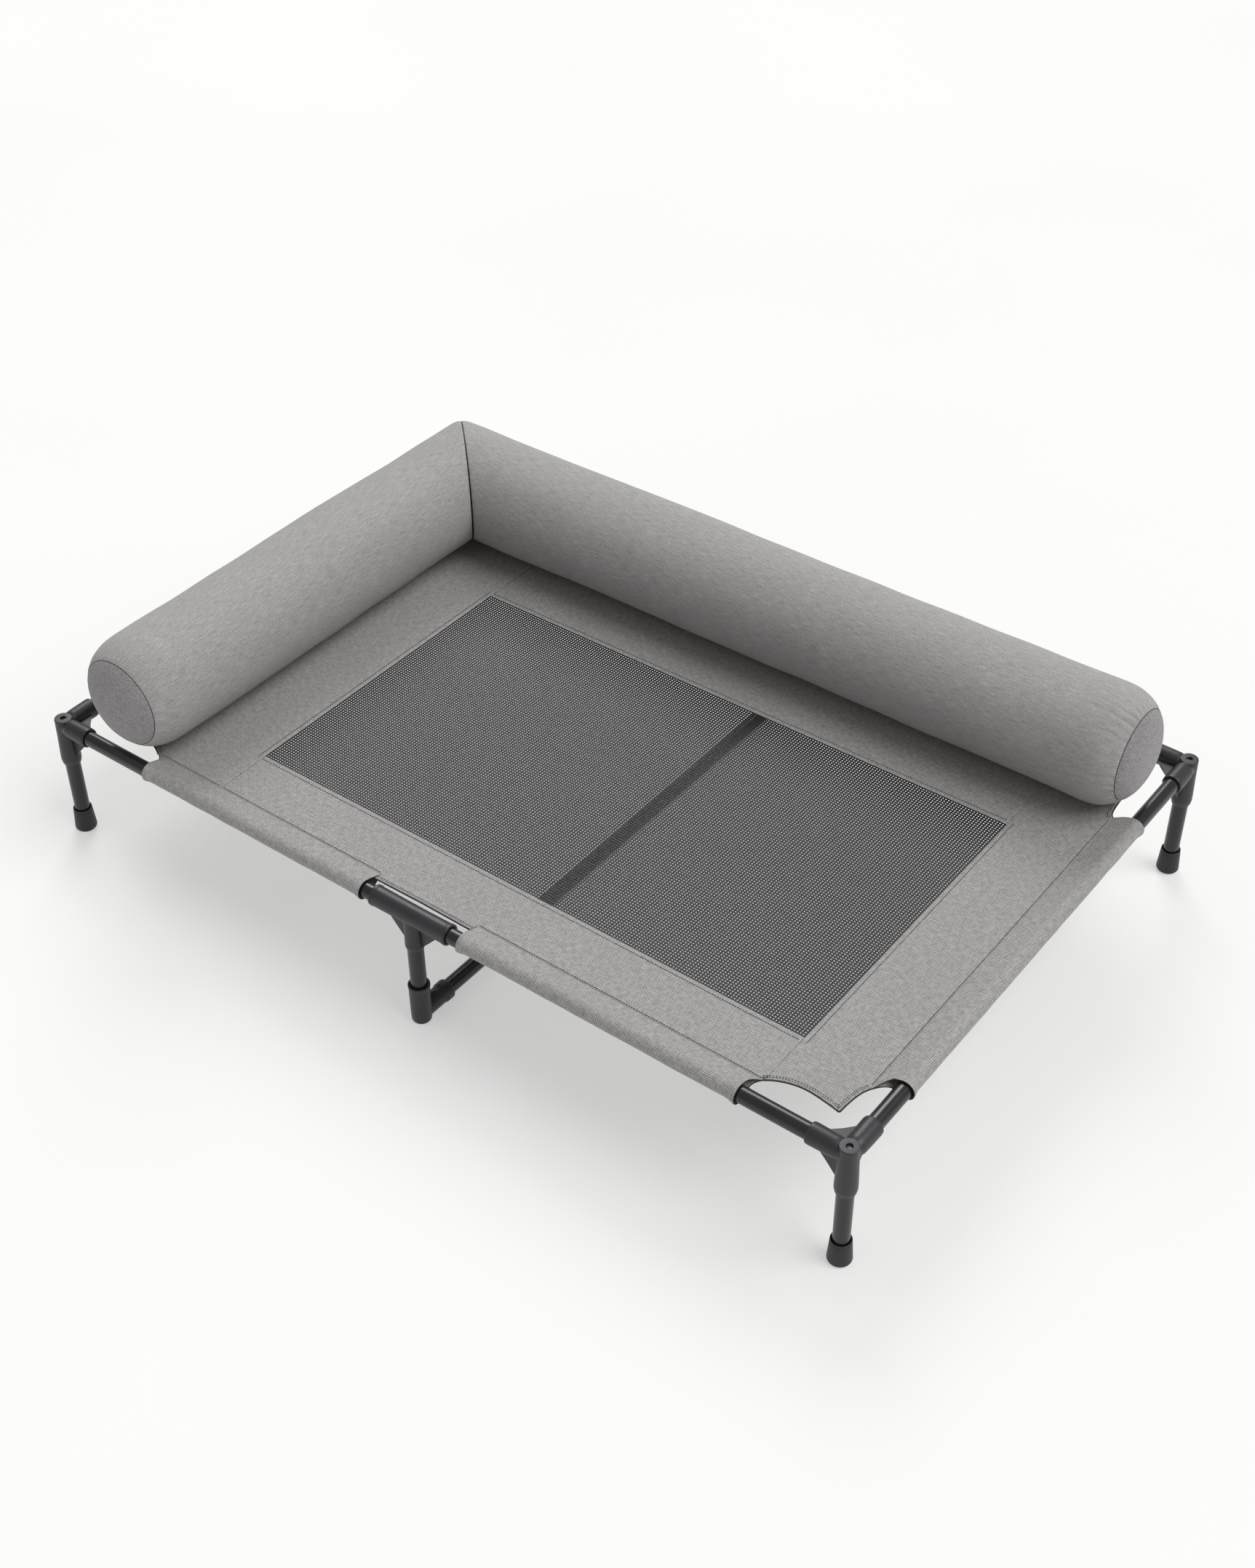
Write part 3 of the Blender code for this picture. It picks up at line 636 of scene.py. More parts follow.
def leftward(ahead):
    """Unit vectors in the plane, to the left of the given directions."""
    ahead = unit(ahead)
    return np.stack([-ahead[:, 1], ahead[:, 0]], axis=1)


def rise(flat):
    """How far the tongue between two sleeves climbs, with them, towards the tee."""
    return 0.25 * np.clip(np.abs(flat[:, 1]) - EDGE_Y, 0, None)


def on_mat(points, inset=0.0, lift=0.0002):
    """XY points set on the mat's face, moved by inset to the left of their direction."""
    points = sampled(points, OUTLINE_STEP)
    points = points + leftward(np.gradient(points, axis=0)) * inset
    return np.column_stack([points, MAT_TOP + lift + rise(points)])


def strands(name, look, lines, lean, sides):
    """Closed round strands along lines of 3D points, each with its directions and its radius."""
    points, faces = [], []
    for centres, ahead, radius in lines:
        faces += capped(numbered(len(points), len(centres), sides))
        points += list(hoops(centres, unit(np.cross(ahead, lean)), ahead, radius, sides))
    data = mesh_of(name, points, faces)
    data.shade_smooth()
    return shown(name, data, look)


def stitching(name, rows, radius=0.00058, length=0.0034, pitch=0.0043):
    """Separate round-ended stitches on the cloth, along rows of 3D points."""
    share, above = np.array([0.0, 0.12, 0.5, 0.88, 1.0]), (0.0, 0.0, 1.0)
    size = radius * np.array([0.35, 0.85, 1.0, 0.85, 0.35])
    lines = []
    for row in rows:
        row = sampled(row, pitch)
        for a, b in zip(row, row[1:]):
            ahead = unit(b - a)
            up = np.cross(unit(np.cross(ahead, above)), ahead)
            bow = np.outer(0.0002 * np.sin(pi * share), up)
            lines.append((a + np.outer(length * share, ahead) + bow, ahead, size))
    return strands(name, THREAD_AND_SEAM_SHADE, lines, above, 6)


def dark_edge_strands(name, paths, radius=0.0013):
    """A dark strand over free edges, along open paths of 3D points: painted shade under and inside those
    edges, on the mat's hems also their binding.
    """
    lines = [(path, unit(np.gradient(path, axis=0)), radius) for path in paths]
    return strands(name, HEM_TAPE_AND_EDGE_SHADE, lines, (0.31, 0.17, 0.93), 8)


def panel(name, edges, hems):
    """A cloth panel inside polylines, with a rolled edge and thicker hems, and its size and area."""
    outline = np.concatenate([sampled(edge, OUTLINE_STEP)[:-1] for edge in edges])
    low, high = outline.min(0), outline.max(0)
    before, after = np.roll(outline, 1, axis=0), np.roll(outline, -1, axis=0)
    area = 0.5 * float(np.sum(outline[:, 0] * after[:, 1] - outline[:, 1] * after[:, 0]))
    closed = np.concatenate([outline, outline[:1]])
    inward = leftward(after - before) * np.sign(area)
    rings = np.concatenate([outline + inward * inset for inset in (0.0008, 0.002, 0.0036)])
    xs, ys = (np.arange(low[k] + FINE / 2, high[k], FINE) for k in (0, 1))
    inner = np.stack(np.meshgrid(xs, ys), axis=-1).reshape(-1, 2)
    spots = [outline]
    for group, least in ((rings, 0.0007), (inner, 0.0052)):
        group = group[within(group, outline)]
        spots.append(group[away_from(group, closed) > least])
    border = [(i, (i + 1) % len(outline)) for i in range(len(outline))]
    verts, _, faces, *_ = delaunay_2d_cdt([Vector(p) for p in np.concatenate(spots)], border, [], 1, 1e-6)
    flat = np.array([v[:] for v in verts])
    edge_far = away_from(flat, closed)
    lift = -0.0009 * np.exp(-((edge_far / 0.0011) ** 2))
    for hem in hems:
        lift += 0.00045 * (1 - np.clip((away_from(flat, hem) - 0.0085) / 0.0016, 0, 1))
    ripple = wander(flat, 26.0, 3) * 0.5 + wander(flat, 61.0, 5) * 0.25 - 0.75
    lift += 0.0005 * ripple * np.clip(edge_far / 0.03, 0, 1)
    points = np.column_stack([flat, MAT_TOP + lift + rise(flat)])
    data = mesh_of(name, points, faces, flat[np.concatenate(faces)])
    obj = shown(name + "_cloth", data, TEXTILE, stands_for=[name])
    thick = obj.modifiers.new("cloth", "SOLIDIFY")
    thick.thickness = FABRIC - 0.0002
    thick.offset = -1.0
    data.shade_smooth()
    if sum(p.normal.z for p in data.polygons) < 0:
        data.flip_normals()
    return obj, tuple(float(v) for v in high - low), abs(area)


def sewn(side, edges, hems, rows):
    """A border panel of the mat with its rows of stitches and its hems, bound by a dark strand that also
    paints the shade under their edges.
    """
    cloth, size, area = panel(side + "_mat_panel", edges, hems)
    threads = stitching(side + "_mat_stitching", rows)
    # Partly a real binding, partly painted shade: a dark strand along each hem's free edge.
    edge_strand = dark_edge_strands(side + "_mat_binding", [on_mat(hem, 0.0, -0.0008) for hem in hems])
    return cloth.name


# The right front corner's scallops, from the front stitch line by the tab to the end stitch line
TAB_X, TAB_Y = 0.7045, 0.4466
FRONT_SCALLOP = [
    (0.592, -0.46), (0.603, -0.452), (0.621, -0.444), (0.639, -0.44), (0.656, -0.4394), (0.674, -0.4416),
    (0.69, -0.4437), (TAB_X, -TAB_Y),
]
SIDE_SCALLOP = [
    (TAB_X, -TAB_Y), (0.705, -0.432), (0.707, -0.413), (0.71, -0.4), (0.7125, -0.3935), (0.716, -0.387),
]
# The right back corner's end scallop, mirrored to the front
BACK_RIGHT_SIDE = [
    (TAB_X, -TAB_Y), (0.7045, -0.4), (0.7055, -0.35), (0.708, -0.322), (0.711, -0.309), (0.716, -0.303),
]


def scallops(side_x, side_y):
    """Both scallops of a corner, from the long rail's stitch line round to the end rail's."""
    long_start = LONG_SLEEVES[1][1] if side_x > 0 else -LONG_SLEEVES[0][0]
    end_start = -SIDE_SLEEVE[0] if side_y < 0 else SIDE_SLEEVE[1]
    front, side = np.array(FRONT_SCALLOP), np.array(SIDE_SCALLOP)
    front[:, 0] = TAB_X + (front[:, 0] - TAB_X) * (TAB_X - long_start) / (TAB_X - LONG_SLEEVES[1][1])
    side[:, 1] = -TAB_Y + (side[:, 1] + TAB_Y) * (TAB_Y - end_start) / (TAB_Y + SIDE_SLEEVE[0])
    if (side_x, side_y) == (1, 1):
        side = np.array(BACK_RIGHT_SIDE)
    return smooth(front) * (side_x, -side_y), smooth(side) * (side_x, -side_y)


def end_panel(side, side_x, inner_x):
    front_long, front_side = scallops(side_x, -1)
    back_long, back_side = scallops(side_x, 1)
    outer_x, low, high = side_x * EDGE_X, front_side[-1][1], back_side[-1][1]
    hems = [
        np.concatenate([front_long, front_side[1:]]),
        np.concatenate([back_side[::-1], back_long[::-1][1:]]),
    ]
    edges = [
        [(inner_x, -EDGE_Y), front_long[0]],
        hems[0],
        [hems[0][-1], (outer_x, low), (outer_x, high), hems[1][0]],
        hems[1],
        [back_long[0], (inner_x, EDGE_Y)],
        [(inner_x, EDGE_Y), (inner_x, -EDGE_Y)],
    ]
    rows = [on_mat(hem, inset * side_x) for hem in hems for inset in HEM_ROWS]
    for y, end_x in ((-EDGE_Y + SEAM_ROW, front_long[0][0]), (EDGE_Y - SEAM_ROW, back_long[0][0])):
        rows.append(on_mat([(inner_x + side_x * 0.004, y), (end_x - side_x * 0.004, y)]))
    for x, start, end in (
        (side_x * (EDGE_X - SEAM_ROW), low + 0.006, high - 0.006),
        (inner_x + side_x * MESH_ROW, MESH_Y[0] - MESH_ROW, MESH_Y[1] + MESH_ROW),
    ):
        rows.append(on_mat([(x, start), (x, end)]))
    return sewn(side, edges, hems, rows)


def long_panel(side, side_y, inner_y):
    """A long border, with a tongue between its sleeves that ends in a free hem beside the tee."""
    (x0, x1), (tongue_0, tongue_1) = MESH_X, (LONG_SLEEVES[0][1], LONG_SLEEVES[1][0])
    hem_x = np.linspace(tongue_0 + 0.0006, tongue_1 - 0.0006, 41)
    hem_y = HEM_Y - 0.0012 * np.clip(1 - np.abs(hem_x) / 0.08, 0, 1)
    hem = np.stack([hem_x, side_y * hem_y], axis=1)
    edge_y, seam_y, mesh_y = side_y * EDGE_Y, side_y * (EDGE_Y - SEAM_ROW), inner_y + side_y * MESH_ROW
    corners = [(x1, edge_y), (x1, inner_y), (x0, inner_y), (x0, edge_y)]
    edges = [
        [(x0, edge_y), (hem[0][0], edge_y), hem[0]],
        hem,
        [hem[-1], (hem[-1][0], edge_y), (x1, edge_y)],
        *zip(corners, corners[1:]),
    ]
    rows = [on_mat(hem, -side_y * inset) for inset in HEM_ROWS]
    for start, end, y in (
        (x0 + 0.004, tongue_0 - 0.002, seam_y),
        (tongue_1 + 0.002, x1 - 0.004, seam_y),
        (x0 + 0.003, x1 - 0.003, mesh_y),
    ):
        rows.append(on_mat([(start, y), (end, y)]))
    return sewn(side, edges, [hem], rows)


borders = [end_panel("left", -1, MESH_X[0]), end_panel("right", 1, MESH_X[1])]
borders += [long_panel("front", -1, MESH_Y[0]), long_panel("back", 1, MESH_Y[1])]


def teardrop(radius, tip, steps=44):
    """A sleeve's outline round a tube, from its point over the top and back, as (across, up)."""
    reach, heading = hypot(*tip), atan2(tip[1], tip[0])
    flank = acos(radius / reach)
    turn = np.linspace(heading + flank, heading - flank + tau, steps)
    round_part = np.stack([radius * np.cos(turn), radius * np.sin(turn)], axis=1)
    upper = np.linspace(tip, round_part[0], 9)[:-1]
    lower = np.linspace(round_part[-1], tip, 9)[1:]
    return np.concatenate([upper, round_part, lower])


def sleeve(name, span, place, along, inward, end_reach, seed):
    """A sleeve along a rail: its cut ends reach further along the stitch line than over the tube."""
    place, along, inward = np.array((place, along, inward), float)
    start, end = span
    length = end - start
    low_reach, high_reach, bend = end_reach
    rows = np.unique(np.concatenate([
        np.linspace(0, 0.012, 7), np.linspace(0.012, length - 0.012, int(length / 0.006)),
        np.linspace(length - 0.012, length, 7),
    ]).round(6))[:, None]
    tip = (STITCH + 0.0001, MAT_Z - RAIL_Z)
    outer = teardrop(TUBE_R + GAP + FABRIC, tip)
    inner = teardrop(TUBE_R + GAP / 2, (tip[0] * 0.955, tip[1] * 0.9))
    arc = lengths(outer)
    near_tip = np.clip((outer[:, 0] - 0.0137) / (tip[0] - 0.0137), 0, 1)
    share = rows / length
    spots = rows + near_tip**bend * (high_reach * share - low_reach * (1 - share))
    sample = np.stack(np.broadcast_arrays(spots, arc, 0.0), axis=-1).reshape(-1, 3)
    crease = 0.0002 * wander(sample, 95.0, seed).reshape(spots.shape) * np.clip(1 - near_tip, 0.25, 1)
    to_end = np.minimum(rows, length - rows)
    mouth = 0.0021 * np.exp(-((to_end / 0.008) ** 2))
    hem = 0.00035 * (to_end < 0.0095)
    layers = []
    for outline, lift in ((outer, 1), (inner, 0)):
        out = (mouth + hem * lift) * (1 - near_tip) + crease * lift
        tucked = outline + unit(outer) * out[..., None]
        layer = place + (start + spots)[..., None] * along + tucked[..., :1] * inward
        layer[..., 2] += tucked[..., 1]
        layers.append(layer)
    uvs = np.stack(np.broadcast_arrays(spots + start, arc), axis=-1).reshape(-1, 2)
    index = numbered(0, 2 * len(rows), len(outer)).reshape(2, len(rows), len(outer))
    surfaces = (index[0], index[1], index[:, 0], index[:, -1], index[:, :, 0], index[:, :, -1])
    faces = np.concatenate([cells(surface).reshape(-1, 4) for surface in surfaces])
    points = np.concatenate(layers).reshape(-1, 3)
    data = facing_out(mesh_of(name, points, faces.tolist(), np.tile(uvs, (2, 1))[faces.ravel()]))
    obj = shown(name + "_cloth", polished(data, 55), TEXTILE, stands_for=[name])
    # Painted shade: a dark strand round each cut end stands for the shade inside the sleeve's open mouth.
    edge_strand = dark_edge_strands(name + "_binding", [(layers[0][row] + layers[1][row]) / 2 for row in (0, -1)], 0.0008)


# How far a sleeve's cut ends reach along the stitch line
LONG_REACH, MIDDLE_REACH, SIDE_REACH, BACK_RIGHT_REACH = 0.013, 0.0005, 0.029, -0.006
for side, side_y in (("front", -1), ("back", 1)):
    place = (0, side_y * SPAN_Y / 2, RAIL_Z)
    for half, span, reach in (
        ("left", LONG_SLEEVES[0], (LONG_REACH, MIDDLE_REACH)),
        ("right", LONG_SLEEVES[1], (MIDDLE_REACH, LONG_REACH)),
    ):
        seed = 11 + side_y + len(half)
        sleeve(f"{side}_{half}_sleeve", span, place, (1, 0, 0), (0, -side_y, 0), (*reach, 2.4), seed)
for side, side_x, back_reach in (("left", -1, SIDE_REACH), ("right", 1, BACK_RIGHT_REACH)):
    place, reach = (side_x * SPAN_X / 2, 0, RAIL_Z), (SIDE_REACH, back_reach, 1.6)
    sleeve(f"{side}_end_sleeve", SIDE_SLEEVE, place, (0, 1, 0), (-side_x, 0, 0), reach, 31 + side_x)


def open_mesh():
    """The breathable centre: two layers of flat yarns at right angles."""
    half_wide, half_thick, sides = 0.00155, 0.00019, 8
    angle = tau * (np.arange(sides) + 0.5) / sides
    points, faces = [], []
    for axis, (low, high), (start, end), level in (
        (1, MESH_Y, MESH_X, MAT_Z + 0.00022),
        (0, MESH_X, MESH_Y, MAT_Z - 0.00022),
    ):
        for middle in np.linspace(low + half_wide, high - half_wide, int((high - low) / MESH_PITCH) + 1):
            faces += capped(numbered(len(points), 2, sides))
            for along in (start + GAP, end - GAP):
                ring = np.full((sides, 3), along)
                ring[:, axis] = middle + half_wide * np.cos(angle)
                ring[:, 2] = level + half_thick * np.sin(angle)
                points += list(ring)
    return polished(facing_out(mesh_of("centre_mesh", points, faces)), 60)


net = shown("centre_mesh_yarns", open_mesh(), NET, stands_for=["centre_mesh"])


# Bolster

TO_BACK_ARM = Matrix.Translation((BOLSTER_X, BOLSTER_Y, BOLSTER_Z))
TO_LEFT_ARM = TO_BACK_ARM @ turned(-90, "Z") @ Matrix.Scale(-1, 4, (0, 1, 0))
# Name, frame, length, seed and depth of pleats of each arm
ARMS = (
    ("left", TO_LEFT_ARM, BOLSTER_Y - LEFT_END, 61, 0.001),
    ("back", TO_BACK_ARM, BACK_END - BOLSTER_X, 73, 0.0036),
)
AROUND = 128
RING_STEP = 0.0072
CORNER_ROUND = 0.034
MITRE_GAP = 0.0002
SWELL = 0.003
SLACK = SWELL * 0.6
PLEATS = 34
SIM_FRAMES = 20


def ring_spots(start, end, seam):
    """Positions from start to end, closer together at the end that is the seam."""
    inward = 1 if seam == start else -1
    tight = [seam + inward * t for t in (0.0012, 0.0028, 0.005)]
    kept = [start]
    for spot in sorted([*np.linspace(start, end, max(3, int((end - start) / RING_STEP) + 1)), *tight]):
        if spot - kept[-1] > 0.001:
            kept.append(spot)
    kept[-1] = end
    return kept


def arm_grid(length):
    """Rings of one arm in its own frame: along +X, across +Y on the outer side of the corner, up +Z.

    Also their distances along the cloth, and the number of the ring at the cap's seam.
    """
    angle = np.linspace(0, pi / 2, 400)
    share, size = np.sin(angle) ** (2 / DOME_POWER), np.cos(angle) ** (2 / DOME_POWER)
    arc = lengths(np.stack([share * DOME, size * BOLSTER_R], axis=1))
    seam = float(np.interp(SEAM_AT, share, arc))
    straight = ring_spots(0.0, length, 0.0)
    shoulder = ring_spots(0.0, seam, seam)[1:]
    cap = ring_spots(seam, float(arc[-1]) - 0.004, seam)[1:]
    theta = tau * np.arange(AROUND) / AROUND
    across, up = np.cos(theta), np.sin(theta)
    radius, depth = BOLSTER_R - SLACK, DOME - SLACK
    rings, uv_along = [], []
    for d in straight:
        part = d / length
        a = across * radius
        x = (MITRE_GAP - a) * (1 - part) + length * part
        past = np.clip(x + a, 0, None)
        bend = CORNER_ROUND * np.clip(across, 0, 1)
        turn = pi / 4 * (1 - np.clip(past / np.maximum(bend, 1e-9), 0, 1))
        curved = (past < bend) & (across > 0.02)
        x = np.where(curved, -a + bend - bend * np.sin(turn) + MITRE_GAP, x)
        a = np.where(curved, a - bend + bend * np.cos(turn), a)
        rings.append(np.column_stack([x, a, up * radius]))
        uv_along.append(np.append(x, x[0]))
    for d in shoulder + cap:
        s, r = np.interp(d, arc, share), radius * np.interp(d, arc, size)
        rings.append(np.column_stack([np.full(AROUND, length + depth * s), across * r, up * r]))
        uv_along.append(np.full(AROUND + 1, length + d))
    return np.array(rings), np.array(uv_along), len(straight) + len(shoulder) - 1


def arm_mesh(name, length, to_world):
    """The arm as one closed mesh of rings, a tip and a hub, and the number of its seam's ring."""
    rings, uv_along, seam_ring = arm_grid(length)
    count = len(rings)
    ends = [[length + DOME - SLACK, 0, 0], [0, 0, 0]]
    points = moved(np.concatenate([rings.reshape(-1, 3), ends]), to_world)
    round_uv = np.broadcast_to(np.arange(AROUND + 1) * (tau * BOLSTER_R / AROUND), uv_along.shape)
    after = [*range(1, AROUND), 0]
    cover_uvs = cells(np.stack([uv_along, round_uv], axis=-1))
    cap_uvs = cells(rings[:, [0, *after], 1:])
    is_cap = np.arange(count - 1) >= seam_ring
    faces = bands(numbered(0, count, AROUND))
    uvs = list(np.where(is_cap[:, None, None, None], cap_uvs, cover_uvs).reshape(-1, 2))
    slots = np.repeat(is_cap, AROUND).astype(int).tolist()
    tip, hub, last = count * AROUND, count * AROUND + 1, (count - 1) * AROUND
    for j, k in enumerate(after):
        faces += [(last + j, tip, last + k), (k, hub, j)]
        uvs += [rings[-1, j, 1:], (0, 0), rings[-1, k, 1:], rings[0, k, 1:], (0, 0), rings[0, j, 1:]]
        slots += [1, 0]
    data = mesh_of(name, points, faces, uvs)
    data.polygons.foreach_set("material_index", slots)
    if to_world.determinant() > 0:
        data.flip_normals()
    return data, seam_ring


def ring_of(points, ring):
    return points[ring * AROUND:(ring + 1) * AROUND]


def inflated(data, seam_ring):
    """Vertex positions of the cover blown up a little between its pinned seams."""
    rest = positions(data)
    obj = linked(data.name + "_cloth", data.copy())
    pins = obj.vertex_groups.new(name="pins")
    hub = len(rest) - 1
    pins.add([ring * AROUND + j for ring in (0, seam_ring) for j in range(AROUND)] + [hub], 1.0, "REPLACE")
    cloth = obj.modifiers.new("Cloth", "CLOTH")
    settings = cloth.settings
    settings.quality = 6
    settings.mass = 0.3
    settings.tension_stiffness = settings.compression_stiffness = 12
    settings.shear_stiffness = 6
    settings.bending_stiffness = 0.6
    settings.use_pressure = True
    settings.uniform_pressure_force = 4
    settings.effector_weights.gravity = 0
    settings.vertex_group_mass = "pins"
    cloth.collision_settings.use_collision = False
    cloth.point_cache.frame_start, cloth.point_cache.frame_end = 1, SIM_FRAMES
    for step in range(1, SIM_FRAMES + 1):
        scene.frame_set(step)
    move = positions(evaluated(obj)) - rest
    scene.frame_set(1)
    far = np.linalg.norm(move, axis=1)
    return rest + move * np.minimum(1, SWELL / np.maximum(far, 1e-9))[:, None]


def from_seam(local, rim):
    """Each point's distance from the cap's seam, in the arm's own frame."""
    rim_r = np.linalg.norm(rim[:, 1:], axis=1).mean()
    return np.hypot(local[:, 0] - rim[:, 0].mean(), np.linalg.norm(local[:, 1:], axis=1) - rim_r)


def settled(points, seam_ring, to_world, seed):
    """Seams drawn in, soft unevenness, and the underside at rest on the mat and its strip."""
    local = moved(points, to_world.inverted())
    size = np.linalg.norm(local[:, 1:], axis=1)
    angle = np.arctan2(local[:, 2], local[:, 1])
    turn = np.column_stack([np.cos(angle) * 1.6, np.sin(angle) * 1.6, local[:, 0] * 7.0])
    to_seam = from_seam(local, ring_of(local, seam_ring))
    to_mitre = np.abs(local[:, 0] + local[:, 1]) / sqrt(2)
    drawn = 0.0013 * np.exp(-((to_seam / 0.0022) ** 2)) + 0.0011 * np.exp(-((to_mitre / 0.0022) ** 2))
    soft = 0.0011 * wander(turn, 1.7, seed) + 0.0005 * wander(turn, 5.0, seed + 1)
    soft *= np.clip(to_mitre / 0.05, 0, 1) * np.clip(to_seam / 0.03, 0, 1) * np.clip(size / 0.05, 0, 1)
    local = local + unit(local * (0, 1, 1)) * (soft - drawn)[:, None]
    out = moved(local, to_world)
    out[:, 2] -= 0.004 * np.clip((BOLSTER_Z - out[:, 2]) / BOLSTER_R, 0, 1) ** 3
    strip = 1 - np.clip((np.abs(local[:, 1]) - STRIP_HALF - 0.0025) / 0.004, 0, 1)
    along = np.clip((local[:, 0] - BOLSTER_R - STRIP_MARGIN + 0.008) / 0.006, 0, 1)
    floor = MAT_TOP + 0.0006 + (3 * GAP + 2 * STRIP - 0.0004) * strip * along
    out[:, 2] = np.maximum(out[:, 2], floor)
    return out


def gathered(data, seam, to_world, seed, depth):
    """Small uneven pleats in the cover that run out from the cap's seam."""
    points = positions(data)
    normals = np.array([v.normal[:] for v in data.vertices])
    local, rim = (moved(p, to_world.inverted()) for p in (points, seam))
    away = from_seam(local, rim)
    angle = np.arctan2(local[:, 2], local[:, 1])
    turn = np.column_stack([np.cos(angle), np.sin(angle)])
    valley = (0.5 + 0.5 * np.cos(PLEATS * angle + 2.4 * wander(turn, 3.0, seed))) ** 2
    strength = depth * (0.3 + 0.7 * np.clip(0.5 + wander(turn, 4.0, seed + 1), 0, 1))
    reach = 0.025 + 0.015 * np.clip(wander(turn, 14.0, seed + 2), -1, 1)
    reach = np.where(local[:, 0] > rim[:, 0].mean() + 0.0005, 0.006, reach)
    fade = np.exp(-away / reach) * (1 - np.exp(-((away / 0.0025) ** 2)))
    reshape(data, points - normals * (strength * valley * fade)[:, None])


def seam_shade_line(name, path, radius):
    """A thin dark line sunk in a seam, round a closed path of 3D points, in thread material: painted shade of
    the seam's crease.
    """
    sides = 6
    ahead = unit(np.roll(path, -1, axis=0) - np.roll(path, 1, axis=0))
    side = unit(np.cross(ahead, path - path.mean(0)))
    rows = numbered(0, len(path), sides)
    data = facing_out(mesh_of(name, hoops(path, side, ahead, radius, sides), bands([*rows, rows[0]])))
    data.shade_smooth()
    shown(name, data, THREAD_AND_SEAM_SHADE, BOLSTER)


def taken(data, index, name):
    """The faces of one material index as their own mesh data."""
    mesh = bmesh.new()
    mesh.from_mesh(data)
    bmesh.ops.delete(mesh, geom=[f for f in mesh.faces if f.material_index != index], context="FACES")
    for face in mesh.faces:
        face.material_index = 0
    part = bpy.data.meshes.new(name)
    mesh.to_mesh(part)
    mesh.free()
    part.shade_smooth()
    return part


for arm, to_world, length, seed, depth in ARMS:
    data, seam_ring = arm_mesh(arm + "_arm", length, to_world)
    points = settled(inflated(data, seam_ring), seam_ring, to_world, seed)
    reshape(data, points)
    body = linked(arm + "_arm", data)
    body.modifiers.new("soften", "SUBSURF").levels = 1
    fine = evaluated(body)
    seam = ring_of(points, seam_ring)
    gathered(fine, seam, to_world, seed + 40, depth)
    for index, part, look, inside in (
        (0, "cover", HEATHER, [f"{arm}_bolster_core"]),
        (1, "end_cap", SHADED_CAP_HEATHER, []),
    ):
        node = f"{arm}_bolster_{part}"
        skin = taken(fine, index, node)
        cloth = shown(node + "_cloth", skin, look, BOLSTER, [node, *inside])
    # Painted shade: dark lines sunk along the cap's seam and the corner's mitre.
    seam_shade_line(f"{arm}_bolster_cap_seam", seam, 0.00065)
    if arm == "back":
        seam_shade_line("bolster_corner_seam", ring_of(points, 0), 0.00042)


# Hook-and-loop strips under the bolster

def strip_mesh(low, top_at, spots, to_world):
    """A strip along +X, flat below and up to top_at above, with thinner woven edges."""
    across = np.linspace(-STRIP_HALF, STRIP_HALF, 15)
    thin = 0.0004 * (np.abs(across) > STRIP_HALF - 0.0016)
    section = [(y, low) for y in across] + [(y, top_at(y) - t) for y, t in zip(across[::-1], thin[::-1])]
    points = [(x, y, z) for x in spots for y, z in section]
    faces = capped(numbered(0, len(spots), len(section)))
    return polished(facing_out(mesh_of("strip", points, faces), to_world), 50)


top_r, bed = BOLSTER_R + GAP, MAT_TOP + GAP - BOLSTER_Z


def under_bolster(across):
    return -sqrt(top_r * top_r - across * across)


for arm, to_world, length, *_ in ARMS:
    start, end = BOLSTER_R + STRIP_MARGIN, length - STRIP_MARGIN
    spots = np.linspace(start, end, int((end - start) / 0.01))
    for part, below, body, low, top_at in (
        ("bolster_loop_strip", "bolster_cover", BOLSTER, -top_r - STRIP, under_bolster),
        ("hook_strip", "mat_panel", FRAME, bed, lambda y: bed + STRIP),
    ):
        node = f"{arm}_{part}"
        data = strip_mesh(low, top_at, spots, to_world)
        tape = shown(node + "_tape", data, HOOK, body, [node])


# Stage, light and camera

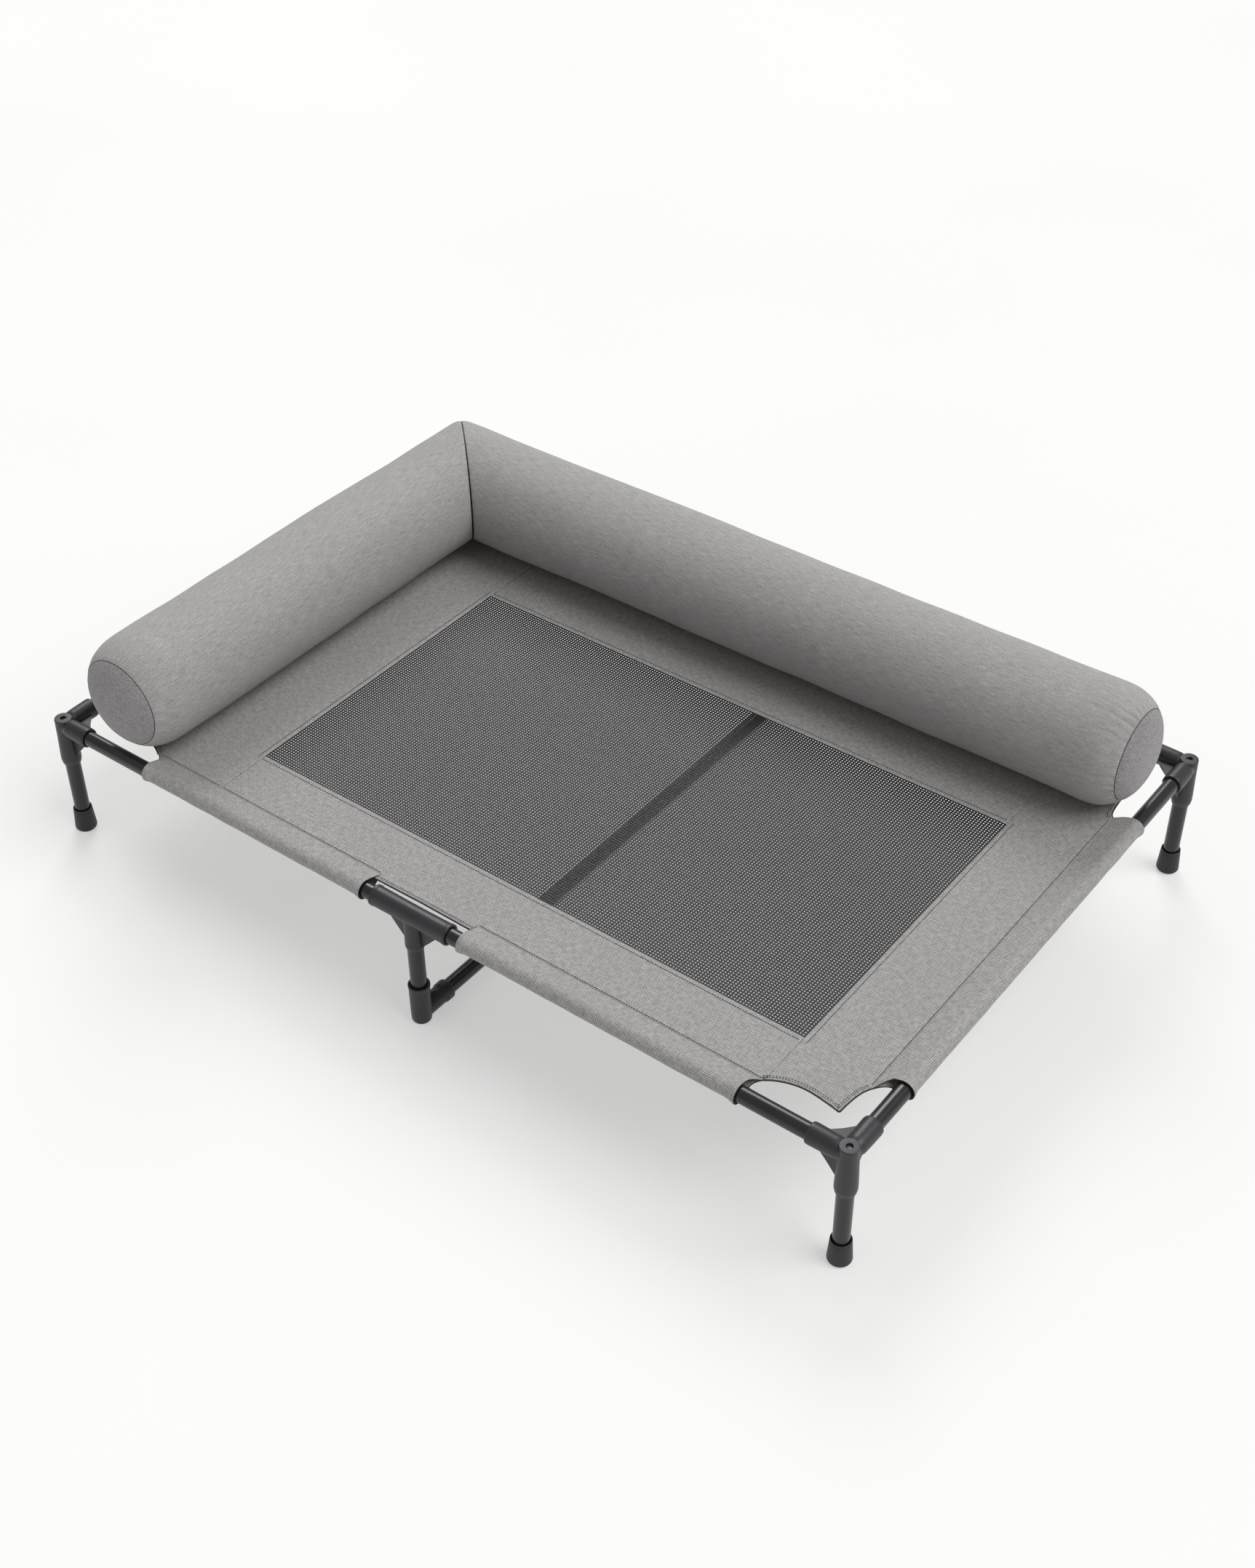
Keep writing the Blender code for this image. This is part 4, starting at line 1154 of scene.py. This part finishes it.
FLOOR_SIZE = 14.0
glow = {"Emission_Color": (1.0, 1.0, 0.995, 1.0), "Emission_Strength": 0.44}
look = Look("studio_floor", 0.75, Specular_IOR_Level=0.1, **glow)
tone = look.span(look.noise(look.place(), 0.8), 0.3, 0.7)
look.done(look.blend(tone, (0.425, 0.425, 0.421), (0.437, 0.437, 0.433)))
corners = [(x * FLOOR_SIZE, y * FLOOR_SIZE, 0) for x, y in ((-1, -1), (1, -1), (1, 1), (-1, 1))]
data = mesh_of("studio_floor", corners, [(0, 1, 2, 3)])
data.materials.append(look.material)
linked("studio_floor", data)

world = bpy.data.worlds.new("studio")
scene.world = world
world.use_nodes = True
nodes, links = world.node_tree.nodes, world.node_tree.links
heading, height, fade = (nodes.new("ShaderNode" + kind) for kind in ("TexCoord", "SeparateXYZ", "ValToRGB"))
HORIZON, SKY = (1.0, 1.0, 1.0, 1.0), (0.47, 0.47, 0.47, 1.0)
steps = fade.color_ramp.elements
steps[0].color = HORIZON
steps[1].color = SKY
steps.new(0.12).color = SKY
links.new(heading.outputs["Generated"], height.inputs["Vector"])
links.new(height.outputs["Z"], fade.inputs["Fac"])
links.new(fade.outputs["Color"], nodes["Background"].inputs["Strength"])
nodes["Background"].inputs["Color"].default_value = (1.0, 1.0, 0.995, 1.0)

for name, energy, spread, source in (
    ("key", 1.85, 40, (0.56, 0.16, 0.81)),
    ("rim", 1.3, 28, (-0.47, 0.56, 0.68)),
):
    sun = bpy.data.lights.new(name, "SUN")
    sun.energy = energy
    sun.angle = radians(spread)
    linked(name, sun).rotation_euler = Vector(source).to_track_quat("Z", "Y").to_euler()

AZIMUTH, ELEVATION, ROLL = 37.391, 39.585, -0.427
SHIFT_RIGHT, SHIFT_UP, DISTANCE = 0.0141, 0.1041, 3.537
FOCAL_LENGTH = 48.91558
lens = bpy.data.cameras.new("camera")
lens.lens = FOCAL_LENGTH
camera = linked("camera", lens)
aim = turned(AZIMUTH, "Z") @ turned(90 - ELEVATION, "X")
camera.matrix_world = aim @ Matrix.Translation((SHIFT_RIGHT, SHIFT_UP, DISTANCE)) @ turned(ROLL, "Z")
scene.camera = camera
scene.view_settings.view_transform = "Standard"
